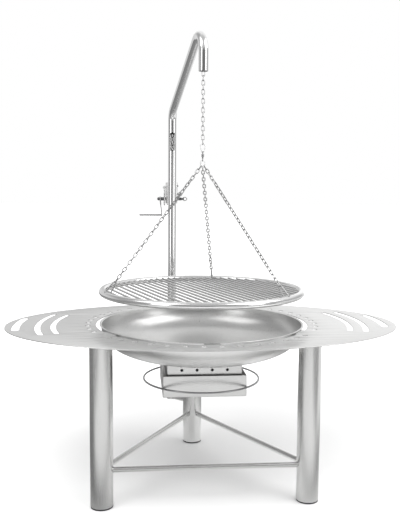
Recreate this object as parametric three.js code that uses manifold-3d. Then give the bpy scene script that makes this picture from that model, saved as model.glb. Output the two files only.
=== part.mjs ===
// A swing grill: a three-legged stand with an oval steel table, a fire bowl with an ash box under it,
// and a gallows tube with a hand winch that lifts a round grate on chains.
// Millimetres, +Z up, X along the long axis of the table, the cook stands on the -Y side.
import * as THREE from "three";
import { mergeVertices } from "three/addons/utils/BufferGeometryUtils.js";
import Module from "manifold-3d";

const wasm = await Module();
wasm.setup();

// Shared clearances
const fit_gap = 0.3; // between touching pieces
const overrun = 5; // how far every cutter reaches past what it cuts
const weld_reach = 1e-4; // corners this near are one corner
const turn = 2 * Math.PI;
const quarter = turn / 4;
const degree = turn / 360;

// Table
const table_height = 640;
const table_half_length = 758;
const table_half_width = 488;
const table_thick = 3;
const table_middle_x = 4; // the table's middle from the bowl's
const table_middle_y = -18;
const table_sides = 64;
const vent_sides = 12;
const slot_sides = 6;
const seat_radius = 412; // the round hole that the bowl hangs in
const seat_tab_radius = 395; // how far in the three bearing tabs reach
const seat_tab_width = 62;
const front_tab_radius = 395; // the small tab at the front
const front_tab_width = 57;
const vent_circle = 443; // circle of the round vent holes
const vent_count = 45; // places on the circle; the legs take some
const vent_radius = 11;
const near_slot_radius = 573;
const near_slot_width = 20;
const near_slot_reach = 19 * degree;
const middle_slot_radius = 631;
const middle_slot_width = 21;
const middle_slot_reach = 19 * degree;
const far_slot_radius = 711;
const far_slot_width = 29;
const far_slot_reach = 9.5 * degree;

// Legs, feet and braces
const leg_count = 3;
const leg_circle = 442;
const leg_radius = 42;
const leg_wall = 2;
const leg_sides = 24;
const leg_cap_thick = 5;
const foot_flange = 5;
const foot_flange_inset = 0.6;
const foot_insert = 20;
const brace_radius = 10;
const brace_wall = 2;
const brace_height = 138;
const brace_sides = 12;

// Fire bowl
const bowl_radius = 392;
const bowl_lip = 7;
const bowl_lip_thick = 2.5;
const bowl_lip_bevel_share = 0.25;
const bowl_wall = 2.5;
const bowl_depth = 136;
const bowl_flat_power = 3; // how flat the bottom stays
const bowl_round_power = 2.5; // how steeply the wall meets the lip
const bowl_steps = 7;
const bowl_sides = 36;
const ash_hole_radius = 8;
const ash_hole_circle = 62;
const ash_hole_count = 6;
const ash_hole_sides = 8;

// Air collar and ash drawer
const collar_half = 142;
const collar_wall = 2;
const collar_foot = 446; // height of its lower edge
const collar_runner = 10; // how far the runner stands out on each side
const collar_runner_thick = 2;
const air_hole_radius = 5.6;
const air_hole_count = 4;
const air_hole_pitch = 57.5;
const air_hole_height = 484;
const air_hole_sides = 8;
const tray_half = 158;
const tray_wall = 2;
const tray_floor = 384;
const tray_top = 465;
const tray_back_top = 440;
const tray_lug = 9; // hooks on the side walls that ride on the runners
const ring_wire = 3.5;
const ring_height = 420;
const ring_sides = 36;
const ring_wire_sides = 5;

// Gallows: one bent tube standing in a socket beside the back leg
const mast_x = -91.5;
const mast_y = 530;
const mast_radius = 19;
const mast_wall = 2;
const mast_sides = 16;
const kink_height = 1508;
const kink_radius = 60;
const crown_height = 1753; // highest point of the tube's centre line
const crown_radius = 70;
const crown_steps = 7;
const kink_steps = 2;
const tip_height = 1609;
const guide_inset = 1; // the plug that guides the lift chain stands this far up in the tip
const guide_length = 24;
const guide_seat = 0.7; // taken off the bore's radius, because the bore is a polygon
const guide_bore = 6.6;
const slot_arc_sides = 10;
const slot_low = 1335;
const slot_high = 1420;
const slot_half = 13;
const back_slot_low = 1212;
const back_slot_high = 1296;
const back_slot_half = 10;
const socket_wall = 3;
const socket_play = 0.5;
const socket_foot = 178;
const socket_top = 556;
const socket_floor = 5;
const socket_arm_half = 12;
const socket_arm_low = 191;
const socket_arm_high = 530;

// Chain
const link_pitch = 17;
const link_wire = 2.1; // radius of the round wire
const link_half_width = 5.4; // centre line of a link's straight sides
const link_bite = 0.6; // how far neighbouring links press into each other
const link_steps = 8;
const link_sides = 3;
const link_play = 0.35;
const corner_back = 30; // where the winch chain turns in towards the mast
const corner_height = 1220;
const corner_rise = 80;

// Winch: heights are measured from the axle, depths from the mast axis
const round_sides = 12; // small pins, bores and hubs
const knurl_sides = 14;
const nut_sides = 6;
const axle_height = 1118;
const frame_half = 26;
const frame_sheet = 4;
const frame_drop = 20; // the frame's lower edge, below the axle
const frame_rise = 76;
const frame_depth = 78;
const axle_back = 62; // behind the mast axis
const axle_radius = 7;
const axle_right = 59;
const axle_end = 12; // the thinner end that the ring goes through
const axle_end_radius = 5;
const axle_play = 0.4;
const drum_radius = 20;
const drum_flange_radius = 31;
const drum_flange_thick = 3;
const drum_inset = 1;
const drum_sides = 16;
const drum_flange_sides = 18;
const ratchet_radius = 32;
const ratchet_root = 27;
const ratchet_teeth = 16;
const ratchet_tip_share = 0.15; // how far into each tooth its tip stands
const ratchet_thick = 6;
const ratchet_gap = 4;
const pawl_rise = 54;
const pawl_back = 34;
const pawl_thick = 7;
const pawl_boss = 8;
const pawl_pin_radius = 4;
const pawl_pin_head = 6.5;
const pawl_nose = 4;
const pawl_nose_angle = 139 * degree; // where on the wheel the nose stands
const pawl_nose_clearance = 0.6;
const spacer_radius = 8;
const spacer_end = -50;
const crank_thick = 5;
const crank_width = 12;
const crank_length = 75;
const crank_set = 9; // how far the free end is set in towards the mast
const crank_boss = 12;
const crank_seat = 1; // the free end's boss stands proud by this much
const nut_radius = 8.5;
const nut_length = 11;
const grip_radius = 5.5;
const grip_length = 100;
const grip_pin_radius = 3;
const grip_pin_head = 5;
const grip_pin_head_thick = 2;
const grip_play = 0.4;
const knob_radius = 11;
const knob_rise = 23;
const knob_back = 46;
const knob_stem_radius = 4;
const knob_stem = 3;
const knob_neck_share = 0.75; // of a quarter turn, below the ball's equator
const knob_steps = 6;
const side_bolt_radius = 5;
const side_bolt_head = 4;
const side_bolt_rise = 60;
const side_bolt_back = 38;
const clip_wire = 1.75;
const clip_long = 9.75;
const clip_wide = 7.75;
const clip_wire_sides = 6;
const clip_sides = 16;

// Snap hook, swivel and ring
const snap_top = 1336.2; // centre of its top wire
const snap_length = 34;
const snap_wire = 2.2;
const snap_head_radius = 9;
const snap_foot_radius = 4.2;
const snap_nose = 5; // how far the hook's nose runs up beside its foot
const snap_head_steps = 8;
const snap_foot_steps = 6;
const gate_wire = 1.6;
const gate_hinge_gap = 1.2; // room for the gate's end to turn under the head
const wire_sides = 8;
const swivel_radius = 5;
const swivel_barrel = 12;
const swivel_eye = 4.6;
const swivel_wire = 1.5;
const swivel_wire_sides = 5;
const stem_radius = 2.2;
const stem_ball = 3.2;
const stem_play = 0.4;
const stem_ball_steps = 4;
const ring_link_wire = 1.9;
const ring_link_radius = 8;
const ring_link_length = 28;
const ring_link_wire_sides = 6;
const ring_link_sides = 18;
const hang_spread = 60 * degree; // between the chains on the ring's lower bend

// Grate
const rim_radius = 387;
const rim_tube = 13.4;
const rim_wall = 2;
const rim_height = 767;
const rim_sides = 42;
const rim_tube_sides = 8;
const rim_bore_sides = 6;
const rim_vent_radius = 3;
const bar_radius = 4;
const bar_pitch = 27.7;
const bar_count = 27;
const bar_rise = 4; // bar centres above the rim's centre
const bar_sides = 6;
const eye_wire = 2.4;
const eye_length = 64; // from the rim's centre to the outside of the bend
const eye_lean = 37 * degree; // in from upright, towards the middle
const eye_foot = 12; // from the eye's centre line to each leg at the rim
const eye_bend_radius = 5.2;
const eye_bend_steps = 6;
const first_eye = -162 * degree;
const bar_heading = 108 * degree;

// Finishes
const finish = (name, color, roughness, metalness) => {
  const made = new THREE.MeshStandardMaterial({ color, roughness, metalness });
  made.name = name;
  return made;
};
const satin_steel = finish("satin_steel", 0xc9c9c7, 0.42, 1);
const polished_steel = finish("polished_steel", 0xdedede, 0.15, 1);
const chain_steel = finish("chain_steel", 0xb4b4b2, 0.3, 1);
const dark_steel = finish("dark_steel", 0x4a4a4c, 0.4, 1);
const black_plastic = finish("black_plastic", 0x161616, 0.6, 0);

// Solids and how they are joined, cut and placed
const solid = (geometry) => {
  const bare = geometry.index ? geometry.toNonIndexed() : geometry.clone();
  bare.deleteAttribute("normal");
  bare.deleteAttribute("uv");
  const merged = mergeVertices(bare, weld_reach);
  return new wasm.Manifold(
    new wasm.Mesh({
      numProp: 3,
      vertProperties: merged.attributes.position.array,
      triVerts: new Uint32Array(merged.index.array),
    }),
  );
};

const geometryOf = (body) => {
  const mesh = body.getMesh();
  const geometry = new THREE.BufferGeometry();
  geometry.setAttribute("position", new THREE.BufferAttribute(mesh.vertProperties, mesh.numProp));
  geometry.setIndex(new THREE.BufferAttribute(mesh.triVerts, 1));
  geometry.computeVertexNormals();
  return geometry;
};

const joined = (parts) => parts.reduce((all, next) => all.add(next));
const cut = (body, cutters) => cutters.reduce((rest, next) => rest.subtract(next), body);

const piece = (name, body, material, parent, place = [0, 0, 0]) => {
  const mesh = new THREE.Mesh(body.isBufferGeometry ? body : geometryOf(body), material);
  mesh.name = name;
  mesh.position.set(...place);
  parent.add(mesh);
  return mesh;
};

const point = (x, y, z) => new THREE.Vector3(x, y, z);
const around = (radius, angle, z = 0) => point(radius * Math.cos(angle), radius * Math.sin(angle), z);
const span = (count) => Array.from({ length: count }, (_, i) => i);

// A closed profile of [radius, height] points turned about the Z axis
const turned = (profile, sides) => {
  const area = profile.reduce((sum, [r, z], i) => {
    const [r2, z2] = profile[(i + 1) % profile.length];
    return sum + r * z2 - r2 * z;
  }, 0);
  const ordered = area > 0 ? profile : [...profile].reverse();
  const points = [...ordered, ordered[0]].map(([r, z]) => new THREE.Vector2(r, z));
  return new THREE.LatheGeometry(points, sides).rotateX(quarter);
};

const disc = (radius, low, high, sides) =>
  solid(turned([[0, low], [radius, low], [radius, high], [0, high]], sides));

const pipe = (outer, inner, low, high, sides) =>
  solid(turned([[inner, low], [outer, low], [outer, high], [inner, high]], sides));

const block = (x0, x1, y0, y1, z0, z1) => {
  const box = new THREE.BoxGeometry(x1 - x0, y1 - y0, z1 - z0);
  return solid(box.translate((x0 + x1) / 2, (y0 + y1) / 2, (z0 + z1) / 2));
};

// A straight round bar between two points
const bar = (from, to, radius, sides) => {
  const along = new THREE.Vector3().subVectors(to, from);
  const geometry = new THREE.CylinderGeometry(radius, radius, along.length(), sides);
  const aim = new THREE.Quaternion().setFromUnitVectors(point(0, 1, 0), along.clone().normalize());
  const middle = from.clone().addScaledVector(along, 1 / 2);
  return solid(geometry.applyQuaternion(aim).translate(middle.x, middle.y, middle.z));
};

// A route through given points, with one step of the extrusion for each stretch
class Route extends THREE.Curve {
  constructor(points) {
    super();
    this.points = points;
  }
  getPoint(t, target = new THREE.Vector3()) {
    const last = this.points.length - 1;
    const at = Math.min(Math.max(t, 0), 1) * last;
    const i = Math.min(Math.floor(at), last - 1);
    return target.lerpVectors(this.points[i], this.points[i + 1], at - i);
  }
  getUtoTmapping(u) {
    return u;
  }
}

const round = (radius) => new THREE.Shape().absarc(0, 0, radius, 0, turn, false);

// A round bar or tube carried along a route
const carried = (points, outer, inner, sides) => {
  const shape = round(outer);
  if (inner > 0) shape.holes.push(new THREE.Path().absarc(0, 0, inner, 0, turn, true));
  return solid(
    new THREE.ExtrudeGeometry(shape, {
      steps: points.length - 1,
      curveSegments: sides / 2,
      bevelEnabled: false,
      extrudePath: new Route(points),
    }),
  );
};

// An outline in the XY plane, extruded from one height to another
const slab = (shape, low, high, sides = nut_sides) => {
  const settings = { depth: high - low, curveSegments: sides / 2, bevelEnabled: false };
  return solid(new THREE.ExtrudeGeometry(shape, settings).translate(0, 0, low));
};

// Stand
const [back_leg, left_leg, right_leg] = span(leg_count).map((i) => quarter + (i * turn) / leg_count);
const leg_angles = { front_left: left_leg, front_right: right_leg, back: back_leg };
const table_under = table_height - table_thick;

// An arc slot with round ends, centred on an angle
const arcSlot = (radius, width, reach, centre) => {
  const half = width / 2;
  const shape = new THREE.Shape();
  shape.absarc(0, 0, radius + half, centre - reach, centre + reach, false);
  const end = around(radius, centre + reach);
  shape.absarc(end.x, end.y, half, centre + reach, centre + reach + turn / 2, false);
  shape.absarc(0, 0, radius - half, centre + reach, centre - reach, true);
  const start = around(radius, centre - reach);
  shape.absarc(start.x, start.y, half, centre - reach + turn / 2, centre - reach + turn, false);
  return slab(shape, table_under - overrun, table_height + overrun, slot_sides);
};

const tableTop = () => {
  const outline = new THREE.Shape();
  outline.absellipse(table_middle_x, table_middle_y, table_half_length, table_half_width, 0, turn);
  const low = table_under - overrun;
  const high = table_height + overrun;
  const plate = slab(outline, table_under, table_height, table_sides);
  const hole = disc(seat_radius, low, high, table_sides);
  const tab = (reach, width, angle) =>
    block(reach, seat_radius + width, -width / 2, width / 2, low, high).rotate([0, 0, angle / degree]);
  const tabs = [
    ...Object.values(leg_angles).map((angle) => tab(seat_tab_radius, seat_tab_width, angle)),
    tab(front_tab_radius, front_tab_width, -quarter),
  ];
  const opening = cut(hole, tabs);
  const taken = (angle) =>
    Object.values(leg_angles).some((leg) => Math.cos(angle - leg) > Math.cos(turn / vent_count / 2));
  const vents = span(vent_count)
    .map((i) => quarter + (i * turn) / vent_count)
    .filter((angle) => !taken(angle))
    .map((angle) => {
      const place = around(vent_circle, angle);
      return disc(vent_radius, low, high, vent_sides).translate(place.x, place.y, 0);
    });
  const slots = [0, turn / 2].flatMap((side) => [
    arcSlot(near_slot_radius, near_slot_width, near_slot_reach, side),
    arcSlot(middle_slot_radius, middle_slot_width, middle_slot_reach, side),
    arcSlot(far_slot_radius, far_slot_width, far_slot_reach, side),
  ]);
  return cut(plate, [opening, ...slots, ...vents]);
};

const leg_foot = foot_flange + fit_gap;
const leg_top = table_under - fit_gap - leg_cap_thick - fit_gap;
const leg_bore = leg_radius - leg_wall;

const legCap = () => disc(leg_radius, 0, leg_cap_thick, leg_sides);

const footPlug = () =>
  joined([
    disc(leg_radius - foot_flange_inset, 0, foot_flange, leg_sides),
    disc(leg_bore - fit_gap, foot_flange / 2, foot_flange + foot_insert, leg_sides),
  ]);

// A tube between two legs, its ends shaped to them
const brace = (from_angle, to_angle) => {
  const from = around(leg_circle, from_angle, brace_height);
  const to = around(leg_circle, to_angle, brace_height);
  const [low, high] = [brace_height - brace_radius - overrun, brace_height + brace_radius + overrun];
  const leg_room = disc(leg_radius + fit_gap, low, high, leg_sides);
  const bites = [from, to].map((at) => leg_room.translate(at.x, at.y, 0));
  const tube = bar(from, to, brace_radius, brace_sides).subtract(
    bar(from, to, brace_radius - brace_wall, brace_sides),
  );
  return cut(tube, bites);
};

const stand = (parent) => {
  piece("table_top", tableTop(), satin_steel, parent);
  for (const [name, angle] of Object.entries(leg_angles)) {
    const at = around(leg_circle, angle);
    const tube = pipe(leg_radius, leg_bore, 0, leg_top - leg_foot, leg_sides);
    piece("leg_" + name, tube, satin_steel, parent, [at.x, at.y, leg_foot]);
    piece("leg_cap_" + name, legCap(), satin_steel, parent, [at.x, at.y, leg_top + fit_gap]);
    piece("foot_" + name, footPlug(), black_plastic, parent, [at.x, at.y, 0]);
  }
  const { front_left, front_right, back } = leg_angles;
  piece("brace_front", brace(front_left, front_right), satin_steel, parent);
  piece("brace_left", brace(back, front_left), satin_steel, parent);
  piece("brace_right", brace(front_right, back), satin_steel, parent);
};

// Fire bowl
const bowl_lip_under = table_height + fit_gap;

// The bowl's wall: the drop w runs from 0 at the lip to 1 at the middle, and the radius follows
// (1 - w ^ round power) ^ (1 / flat power)
const bowlCurve = (radius, depth, top) =>
  span(bowl_steps + 1).map((i) => {
    const drop = Math.sin((i / bowl_steps) * quarter);
    const out = (1 - drop ** bowl_round_power) ** (1 / bowl_flat_power);
    return [i === bowl_steps ? 0 : radius * out, top - depth * drop];
  });

const fireBowl = () => {
  const outside = bowlCurve(bowl_radius, bowl_depth, bowl_lip_under);
  const inside = bowlCurve(bowl_radius - bowl_wall, bowl_depth - bowl_wall, bowl_lip_under);
  const top = bowl_lip_under + bowl_lip_thick;
  const bevel = bowl_lip_thick * bowl_lip_bevel_share;
  const lip = [
    [bowl_radius + bowl_lip, bowl_lip_under],
    [bowl_radius + bowl_lip, top - bevel],
    [bowl_radius + bowl_lip - bevel, top],
    [bowl_radius - bowl_wall, top],
  ];
  const shell = solid(turned([...[...outside].reverse(), ...lip, ...inside], bowl_sides));
  const low = bowl_lip_under - bowl_depth - overrun;
  const high = low + overrun + bowl_wall + overrun;
  const circle = span(ash_hole_count).map((i) => around(ash_hole_circle, (i * turn) / ash_hole_count));
  const hole = (at) => disc(ash_hole_radius, low, high, ash_hole_sides).translate(at.x, at.y, 0);
  return cut(shell, [point(0, 0, 0), ...circle].map(hole));
};

// The room that the bowl takes from above, lowered by the gap
const bowlRoom = () => {
  const outside = bowlCurve(bowl_radius, bowl_depth, bowl_lip_under - fit_gap);
  return solid(turned([...outside, [0, bowl_lip_under]], bowl_sides));
};

const airCollar = () => {
  const top = bowl_lip_under - bowl_depth / 2;
  const outer = block(-collar_half, collar_half, -collar_half, collar_half, collar_foot, top);
  const bore = collar_half - collar_wall;
  const inner = block(-bore, bore, -bore, bore, collar_foot - overrun, top + overrun);
  const runner = block(
    -collar_half - collar_runner,
    collar_half + collar_runner,
    -collar_half,
    collar_half,
    collar_foot,
    collar_foot + collar_runner_thick,
  );
  const holes = span(air_hole_count).map((i) => {
    const x = (i - (air_hole_count - 1) / 2) * air_hole_pitch;
    const [front, back] = [-collar_half - overrun, -collar_half + overrun];
    const [from, to] = [point(x, front, air_hole_height), point(x, back, air_hole_height)];
    return bar(from, to, air_hole_radius, air_hole_sides);
  });
  return cut(outer.add(runner), [inner, bowlRoom(), ...holes]);
};

const ashTray = () => {
  const inside = tray_half - tray_wall;
  const shell = cut(block(-tray_half, tray_half, -tray_half, tray_half, tray_floor, tray_top), [
    block(-inside, inside, -inside, inside, tray_floor + tray_wall, tray_top + overrun),
    block(-inside, inside, inside - overrun, tray_half + overrun, tray_back_top, tray_top + overrun),
  ]);
  const lug_low = collar_foot + collar_runner_thick + fit_gap;
  const lugs = [-1, 1].map((side) => {
    const ends = [side * (inside - tray_lug), side * (inside + tray_wall / 2)].sort((a, b) => a - b);
    return block(...ends, -inside, inside, lug_low, lug_low + tray_wall);
  });
  return joined([shell, ...lugs]);
};

// A round wire ring that touches the four corners of the tray
const trayRing = () => {
  const radius = tray_half * Math.SQRT2 + fit_gap + ring_wire;
  return new THREE.TorusGeometry(radius, ring_wire, ring_wire_sides, ring_sides);
};

const fire = (parent) => {
  piece("fire_bowl", fireBowl(), satin_steel, parent);
  piece("air_collar", airCollar(), satin_steel, parent);
  piece("ash_tray", ashTray(), satin_steel, parent);
  piece("tray_ring", trayRing(), satin_steel, parent, [0, 0, ring_height]);
};

// Mast socket, welded to the back leg by two arms
const socket_bore = mast_radius + socket_play;
const socket_radius = socket_bore + socket_wall;

const mastSocket = () =>
  joined([
    pipe(socket_radius, socket_bore, socket_foot, socket_top, mast_sides),
    disc(socket_radius, socket_foot, socket_foot + socket_floor, mast_sides),
  ]);

const socketArm = (height) => {
  const leg = around(leg_circle, leg_angles.back);
  const away = Math.atan2(mast_y - leg.y, mast_x - leg.x);
  const reach = Math.hypot(mast_y - leg.y, mast_x - leg.x);
  const low = height - socket_arm_half;
  const high = height + socket_arm_half;
  const beam = block(0, reach, -socket_arm_half, socket_arm_half, low, high);
  const bites = [
    disc(leg_radius + fit_gap, low - overrun, high + overrun, 2 * leg_sides),
    disc(socket_radius + fit_gap, low - overrun, high + overrun, 2 * mast_sides).translate(reach, 0, 0),
  ];
  return cut(beam, bites).rotate([0, 0, away / degree]).translate(leg.x, leg.y, 0);
};

const socket = (parent) => {
  piece("mast_socket", mastSocket(), satin_steel, parent, [mast_x, mast_y, 0]);
  piece("socket_arm_lower", socketArm(socket_arm_low), satin_steel, parent);
  piece("socket_arm_upper", socketArm(socket_arm_high), satin_steel, parent);
};

// Gallows tube: up the mast, over the kink, along the arm, round the crown and down to the tip.
// The route lies in the upright plane through the mast axis and the bowl's axis.
const gallowsRoute = () => {
  const reach = Math.hypot(mast_x, mast_y);
  const heading = point(-mast_x / reach, -mast_y / reach, 0);
  const at = (out, up) => heading.clone().multiplyScalar(out).setZ(up);
  const centre = { out: reach - crown_radius, up: crown_height - crown_radius };
  const slope =
    Math.atan2(centre.up - kink_height, centre.out) +
    Math.asin(crown_radius / Math.hypot(centre.out, centre.up - kink_height));
  const half_bend = (quarter - slope) / 2;
  const trim = kink_radius * Math.tan(half_bend);
  const kink = span(kink_steps + 1).map((i) => {
    const a = turn / 2 - (i / kink_steps) * 2 * half_bend;
    return at(kink_radius + kink_radius * Math.cos(a), kink_height - trim + kink_radius * Math.sin(a));
  });
  const crown = span(crown_steps + 1).map((i) => {
    const a = (quarter + slope) * (1 - i / crown_steps);
    return at(centre.out + crown_radius * Math.cos(a), centre.up + crown_radius * Math.sin(a));
  });
  return [at(0, socket_foot + socket_floor + fit_gap), ...kink, ...crown, at(reach, tip_height)];
};

// An upright slot with round ends through one side of the mast; side is -1 for the front, 1 for the back
const mastSlot = (low, high, half, side) => {
  const outline = new THREE.Shape();
  outline.absarc(0, high - half, half, 0, turn / 2, false);
  outline.absarc(0, low + half, half, turn / 2, turn, false);
  const cutter = slab(outline, 0, mast_radius + overrun, slot_arc_sides).rotate([90, 0, 0]);
  return side < 0 ? cutter : cutter.rotate([0, 0, 180]);
};

const gallowsTube = () =>
  cut(carried(gallowsRoute(), mast_radius, mast_radius - mast_wall, mast_sides), [
    mastSlot(slot_low, slot_high, slot_half, -1),
    mastSlot(back_slot_low, back_slot_high, back_slot_half, 1),
  ]);

// The plug in the tip, drawn about the bowl's axis
const tipGuide = () => {
  const low = tip_height + guide_inset;
  return pipe(mast_radius - mast_wall - guide_seat, guide_bore, low, low + guide_length, mast_sides);
};

// One chain link: a ring drawn out along its length, lying in the plane of along and across. The ring's
// section is turned so that an edge of it faces the opening.
const link = (centre, along, across, pitch) => {
  const half_step = turn / link_steps / 2;
  const shape = new THREE.TorusGeometry(link_half_width, link_wire, link_sides, link_steps);
  shape.rotateZ(half_step);
  const stretch = (pitch - link_bite) / 2 - (link_half_width - link_wire) * Math.cos(half_step);
  const places = shape.attributes.position;
  for (const i of span(places.count)) {
    const [x, y, z] = [places.getX(i), places.getY(i), places.getZ(i)];
    const flipped = (2 * link_half_width) / Math.hypot(x, y) - 1;
    places.setXYZ(i, x * flipped + Math.sign(x) * stretch, y * flipped, -z);
  }
  const side = new THREE.Vector3().crossVectors(along, across);
  const frame = new THREE.Matrix4().makeBasis(along, across, side).setPosition(centre);
  return solid(shape.applyMatrix4(frame));
};

// Linked links between two bearing points, which are the inner faces of the end links. They turn from
// first_across to last_across on the way, each by nearly a quarter turn.
const links = (from, to, first_across, last_across) => {
  const length = from.distanceTo(to) + link_bite;
  const count = Math.round(length / link_pitch);
  const pitch = length / count;
  const along = new THREE.Vector3().subVectors(to, from).normalize();
  const level = (v) => v.clone().addScaledVector(along, -v.dot(along)).normalize();
  const first = level(first_across);
  const last = level(last_across);
  const swing = Math.atan2(new THREE.Vector3().crossVectors(first, last).dot(along), first.dot(last));
  const halves = Math.round(((count - 1) * quarter - swing) / (turn / 2));
  const step = count > 1 ? (swing + (halves * turn) / 2) / (count - 1) : 0;
  return span(count).map((i) => {
    const across = first.clone().applyAxisAngle(along, i * step);
    const centre = from.clone().addScaledVector(along, (pitch - link_bite) / 2 + i * pitch);
    return link(centre, along, across, pitch);
  });
};

const chain = (from, to, first_across, last_across) => joined(links(from, to, first_across, last_across));

// Winch behind the mast. X runs along the axle, and the frame is one bent sheet.
const frame_back = mast_radius + fit_gap;
const frame_low = axle_height - frame_drop;
const frame_high = axle_height + frame_rise;
const pawl_height = axle_height + pawl_rise;
const knob_height = axle_height + knob_rise;
const side_bolt_height = axle_height + side_bolt_rise;
const ratchet_right = -frame_half - ratchet_gap;
const ratchet_left = ratchet_right - ratchet_thick;

const winchFrame = () => {
  const inside = frame_half - frame_sheet;
  const [front, back] = [frame_back, frame_back + frame_depth];
  const body = block(-frame_half, frame_half, front, back, frame_low, frame_high);
  const [low, high] = [frame_low - overrun, frame_high + overrun];
  const through = (radius, y, z) =>
    bar(point(-frame_half - overrun, y, z), point(frame_half + overrun, y, z), radius, round_sides);
  return cut(body, [
    block(-inside, inside, front + frame_sheet, back + overrun, low, high),
    through(axle_radius + axle_play, axle_back, axle_height),
    through(pawl_pin_radius + fit_gap, pawl_back, pawl_height),
    through(side_bolt_radius / 2 + fit_gap, side_bolt_back, side_bolt_height),
    through(knob_stem_radius + fit_gap, knob_back, knob_height),
  ]);
};

// The crank parts are drawn with the axle on their own X axis
const onAxle = (radius, x0, x1, sides = round_sides) => bar(point(x0, 0, 0), point(x1, 0, 0), radius, sides);
const nut_start = spacer_end - crank_thick - 2 * fit_gap;

// A wire loop through a cross hole near the right end of the axle
const retainingRing = (wire) => {
  const shape = new THREE.TorusGeometry(clip_wide, wire, clip_wire_sides, clip_sides);
  const places = shape.attributes.position;
  for (const i of span(places.count)) places.setX(i, (places.getX(i) * clip_long) / clip_wide);
  shape.rotateX(quarter);
  return solid(shape.translate(axle_right - axle_end / 2 + clip_long, 0, 0));
};

const axle = () =>
  joined([
    onAxle(axle_radius, nut_start - nut_length / 2, axle_right - axle_end),
    onAxle(axle_end_radius, frame_half, axle_right),
  ]).subtract(retainingRing(clip_wire + fit_gap));

const drum = () => {
  const half = frame_half - frame_sheet - drum_inset;
  const body = joined([
    onAxle(drum_radius, -half, half, drum_sides),
    onAxle(drum_flange_radius, -half, -half + drum_flange_thick, drum_flange_sides),
    onAxle(drum_flange_radius, half - drum_flange_thick, half, drum_flange_sides),
  ]);
  return body.subtract(onAxle(axle_radius + fit_gap, -half - overrun, half + overrun));
};

// Saw teeth: each rises steeply and falls away slowly, so that the pawl stops the drum from paying out
const ratchet = () => {
  const shape = new THREE.Shape();
  for (const i of span(ratchet_teeth)) {
    const start = around(ratchet_root, (i * turn) / ratchet_teeth);
    const tip = around(ratchet_radius, ((i + ratchet_tip_share) * turn) / ratchet_teeth);
    if (i) shape.lineTo(start.x, start.y);
    else shape.moveTo(start.x, start.y);
    shape.lineTo(tip.x, tip.y);
  }
  shape.closePath();
  const wheel = slab(shape, ratchet_left, ratchet_right).rotate([90, 0, 90]);
  const bore = onAxle(axle_radius + fit_gap, ratchet_left - overrun, ratchet_right + overrun);
  return wheel.subtract(bore);
};

// The pawl hangs on its pin and its nose stands over the teeth
const pawlLever = () => {
  const reach = ratchet_radius + pawl_nose_clearance;
  const tip = {
    y: axle_back - pawl_back + reach * Math.cos(pawl_nose_angle),
    z: -pawl_rise + reach * Math.sin(pawl_nose_angle),
  };
  const shape = new THREE.Shape();
  shape.moveTo(pawl_boss, 0);
  shape.lineTo(-pawl_boss, 0);
  shape.lineTo(tip.y - pawl_nose, tip.z + pawl_nose / 2);
  shape.lineTo(tip.y, tip.z);
  shape.closePath();
  const body = slab(shape, 0, pawl_thick).add(disc(pawl_boss, 0, pawl_thick, knurl_sides));
  const bore = disc(pawl_pin_radius + fit_gap, -overrun, pawl_thick + overrun, knurl_sides);
  return body.subtract(bore).rotate([90, 0, 90]);
};

const pawl_left = ratchet_left - (pawl_thick - ratchet_thick) / 2;

const pawlPin = () =>
  joined([
    onAxle(pawl_pin_radius, pawl_left - fit_gap, -frame_half + frame_sheet, knurl_sides),
    onAxle(pawl_pin_head, pawl_left - fit_gap - pawl_pin_radius, pawl_left - fit_gap, nut_sides),
  ]);

const hubSpacer = () => {
  const right = ratchet_left - fit_gap;
  return onAxle(spacer_radius, spacer_end, right).subtract(
    onAxle(axle_radius + fit_gap, spacer_end - overrun, right + overrun),
  );
};

// A flat bar with two round bosses, its lower end set in towards the mast
const crank_left = spacer_end - fit_gap - crank_thick;
const grip_boss = crank_left + crank_set - crank_seat;

const crankArm = () => {
  const lean = Math.asin(crank_set / (crank_length - crank_boss));
  const half = crank_width / 2;
  const flat = block(-crank_thick / 2, crank_thick / 2, -half, half, crank_boss - crank_length, crank_seat)
    .rotate([0, -lean / degree, 0])
    .translate(crank_left + crank_thick / 2, 0, -crank_boss);
  const hub = onAxle(crank_boss, crank_left, crank_left + crank_thick);
  const foot = onAxle(half, grip_boss, grip_boss + crank_seat + crank_thick, knurl_sides);
  const hub_bore = onAxle(axle_radius + fit_gap, crank_left - overrun, crank_left + crank_thick + overrun);
  const foot_bore = onAxle(grip_pin_radius + fit_gap, crank_left - overrun, grip_boss + 2 * overrun);
  const solids = joined([flat, hub, foot.translate(0, 0, -crank_length)]);
  return cut(solids, [hub_bore, foot_bore.translate(0, 0, -crank_length)]);
};

const hubNut = () => {
  const left = nut_start - nut_length;
  const body = onAxle(nut_radius, left, nut_start, nut_sides);
  return body.subtract(onAxle(axle_radius + fit_gap, left + nut_length / 2 - fit_gap, nut_start + overrun));
};

const grip_right = grip_boss - fit_gap;

const gripPin = () => {
  const left = grip_right - grip_length - fit_gap;
  return joined([
    onAxle(grip_pin_radius, left - fit_gap, grip_boss + crank_thick),
    onAxle(grip_pin_head, left - grip_pin_head_thick, left, knurl_sides),
  ]);
};

const crankGrip = () =>
  onAxle(grip_radius, grip_right - grip_length, grip_right, knurl_sides).subtract(
    onAxle(grip_pin_radius + grip_play, grip_right - grip_length - overrun, grip_right + overrun, knurl_sides),
  );

const sideKnob = () => {
  const profile = [
    [0, -frame_sheet],
    [knob_stem_radius, -frame_sheet],
    [knob_stem_radius, knob_stem],
    ...span(knob_steps + 1).map((i) => {
      const a = -quarter * knob_neck_share + (i / knob_steps) * quarter * (1 + knob_neck_share);
      return [i === knob_steps ? 0 : knob_radius * Math.cos(a), knob_stem + knob_radius * (Math.sin(a) + 1)];
    }),
  ];
  return solid(turned(profile, round_sides)).rotate([0, 90, 0]).translate(frame_half, 0, 0);
};

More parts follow.
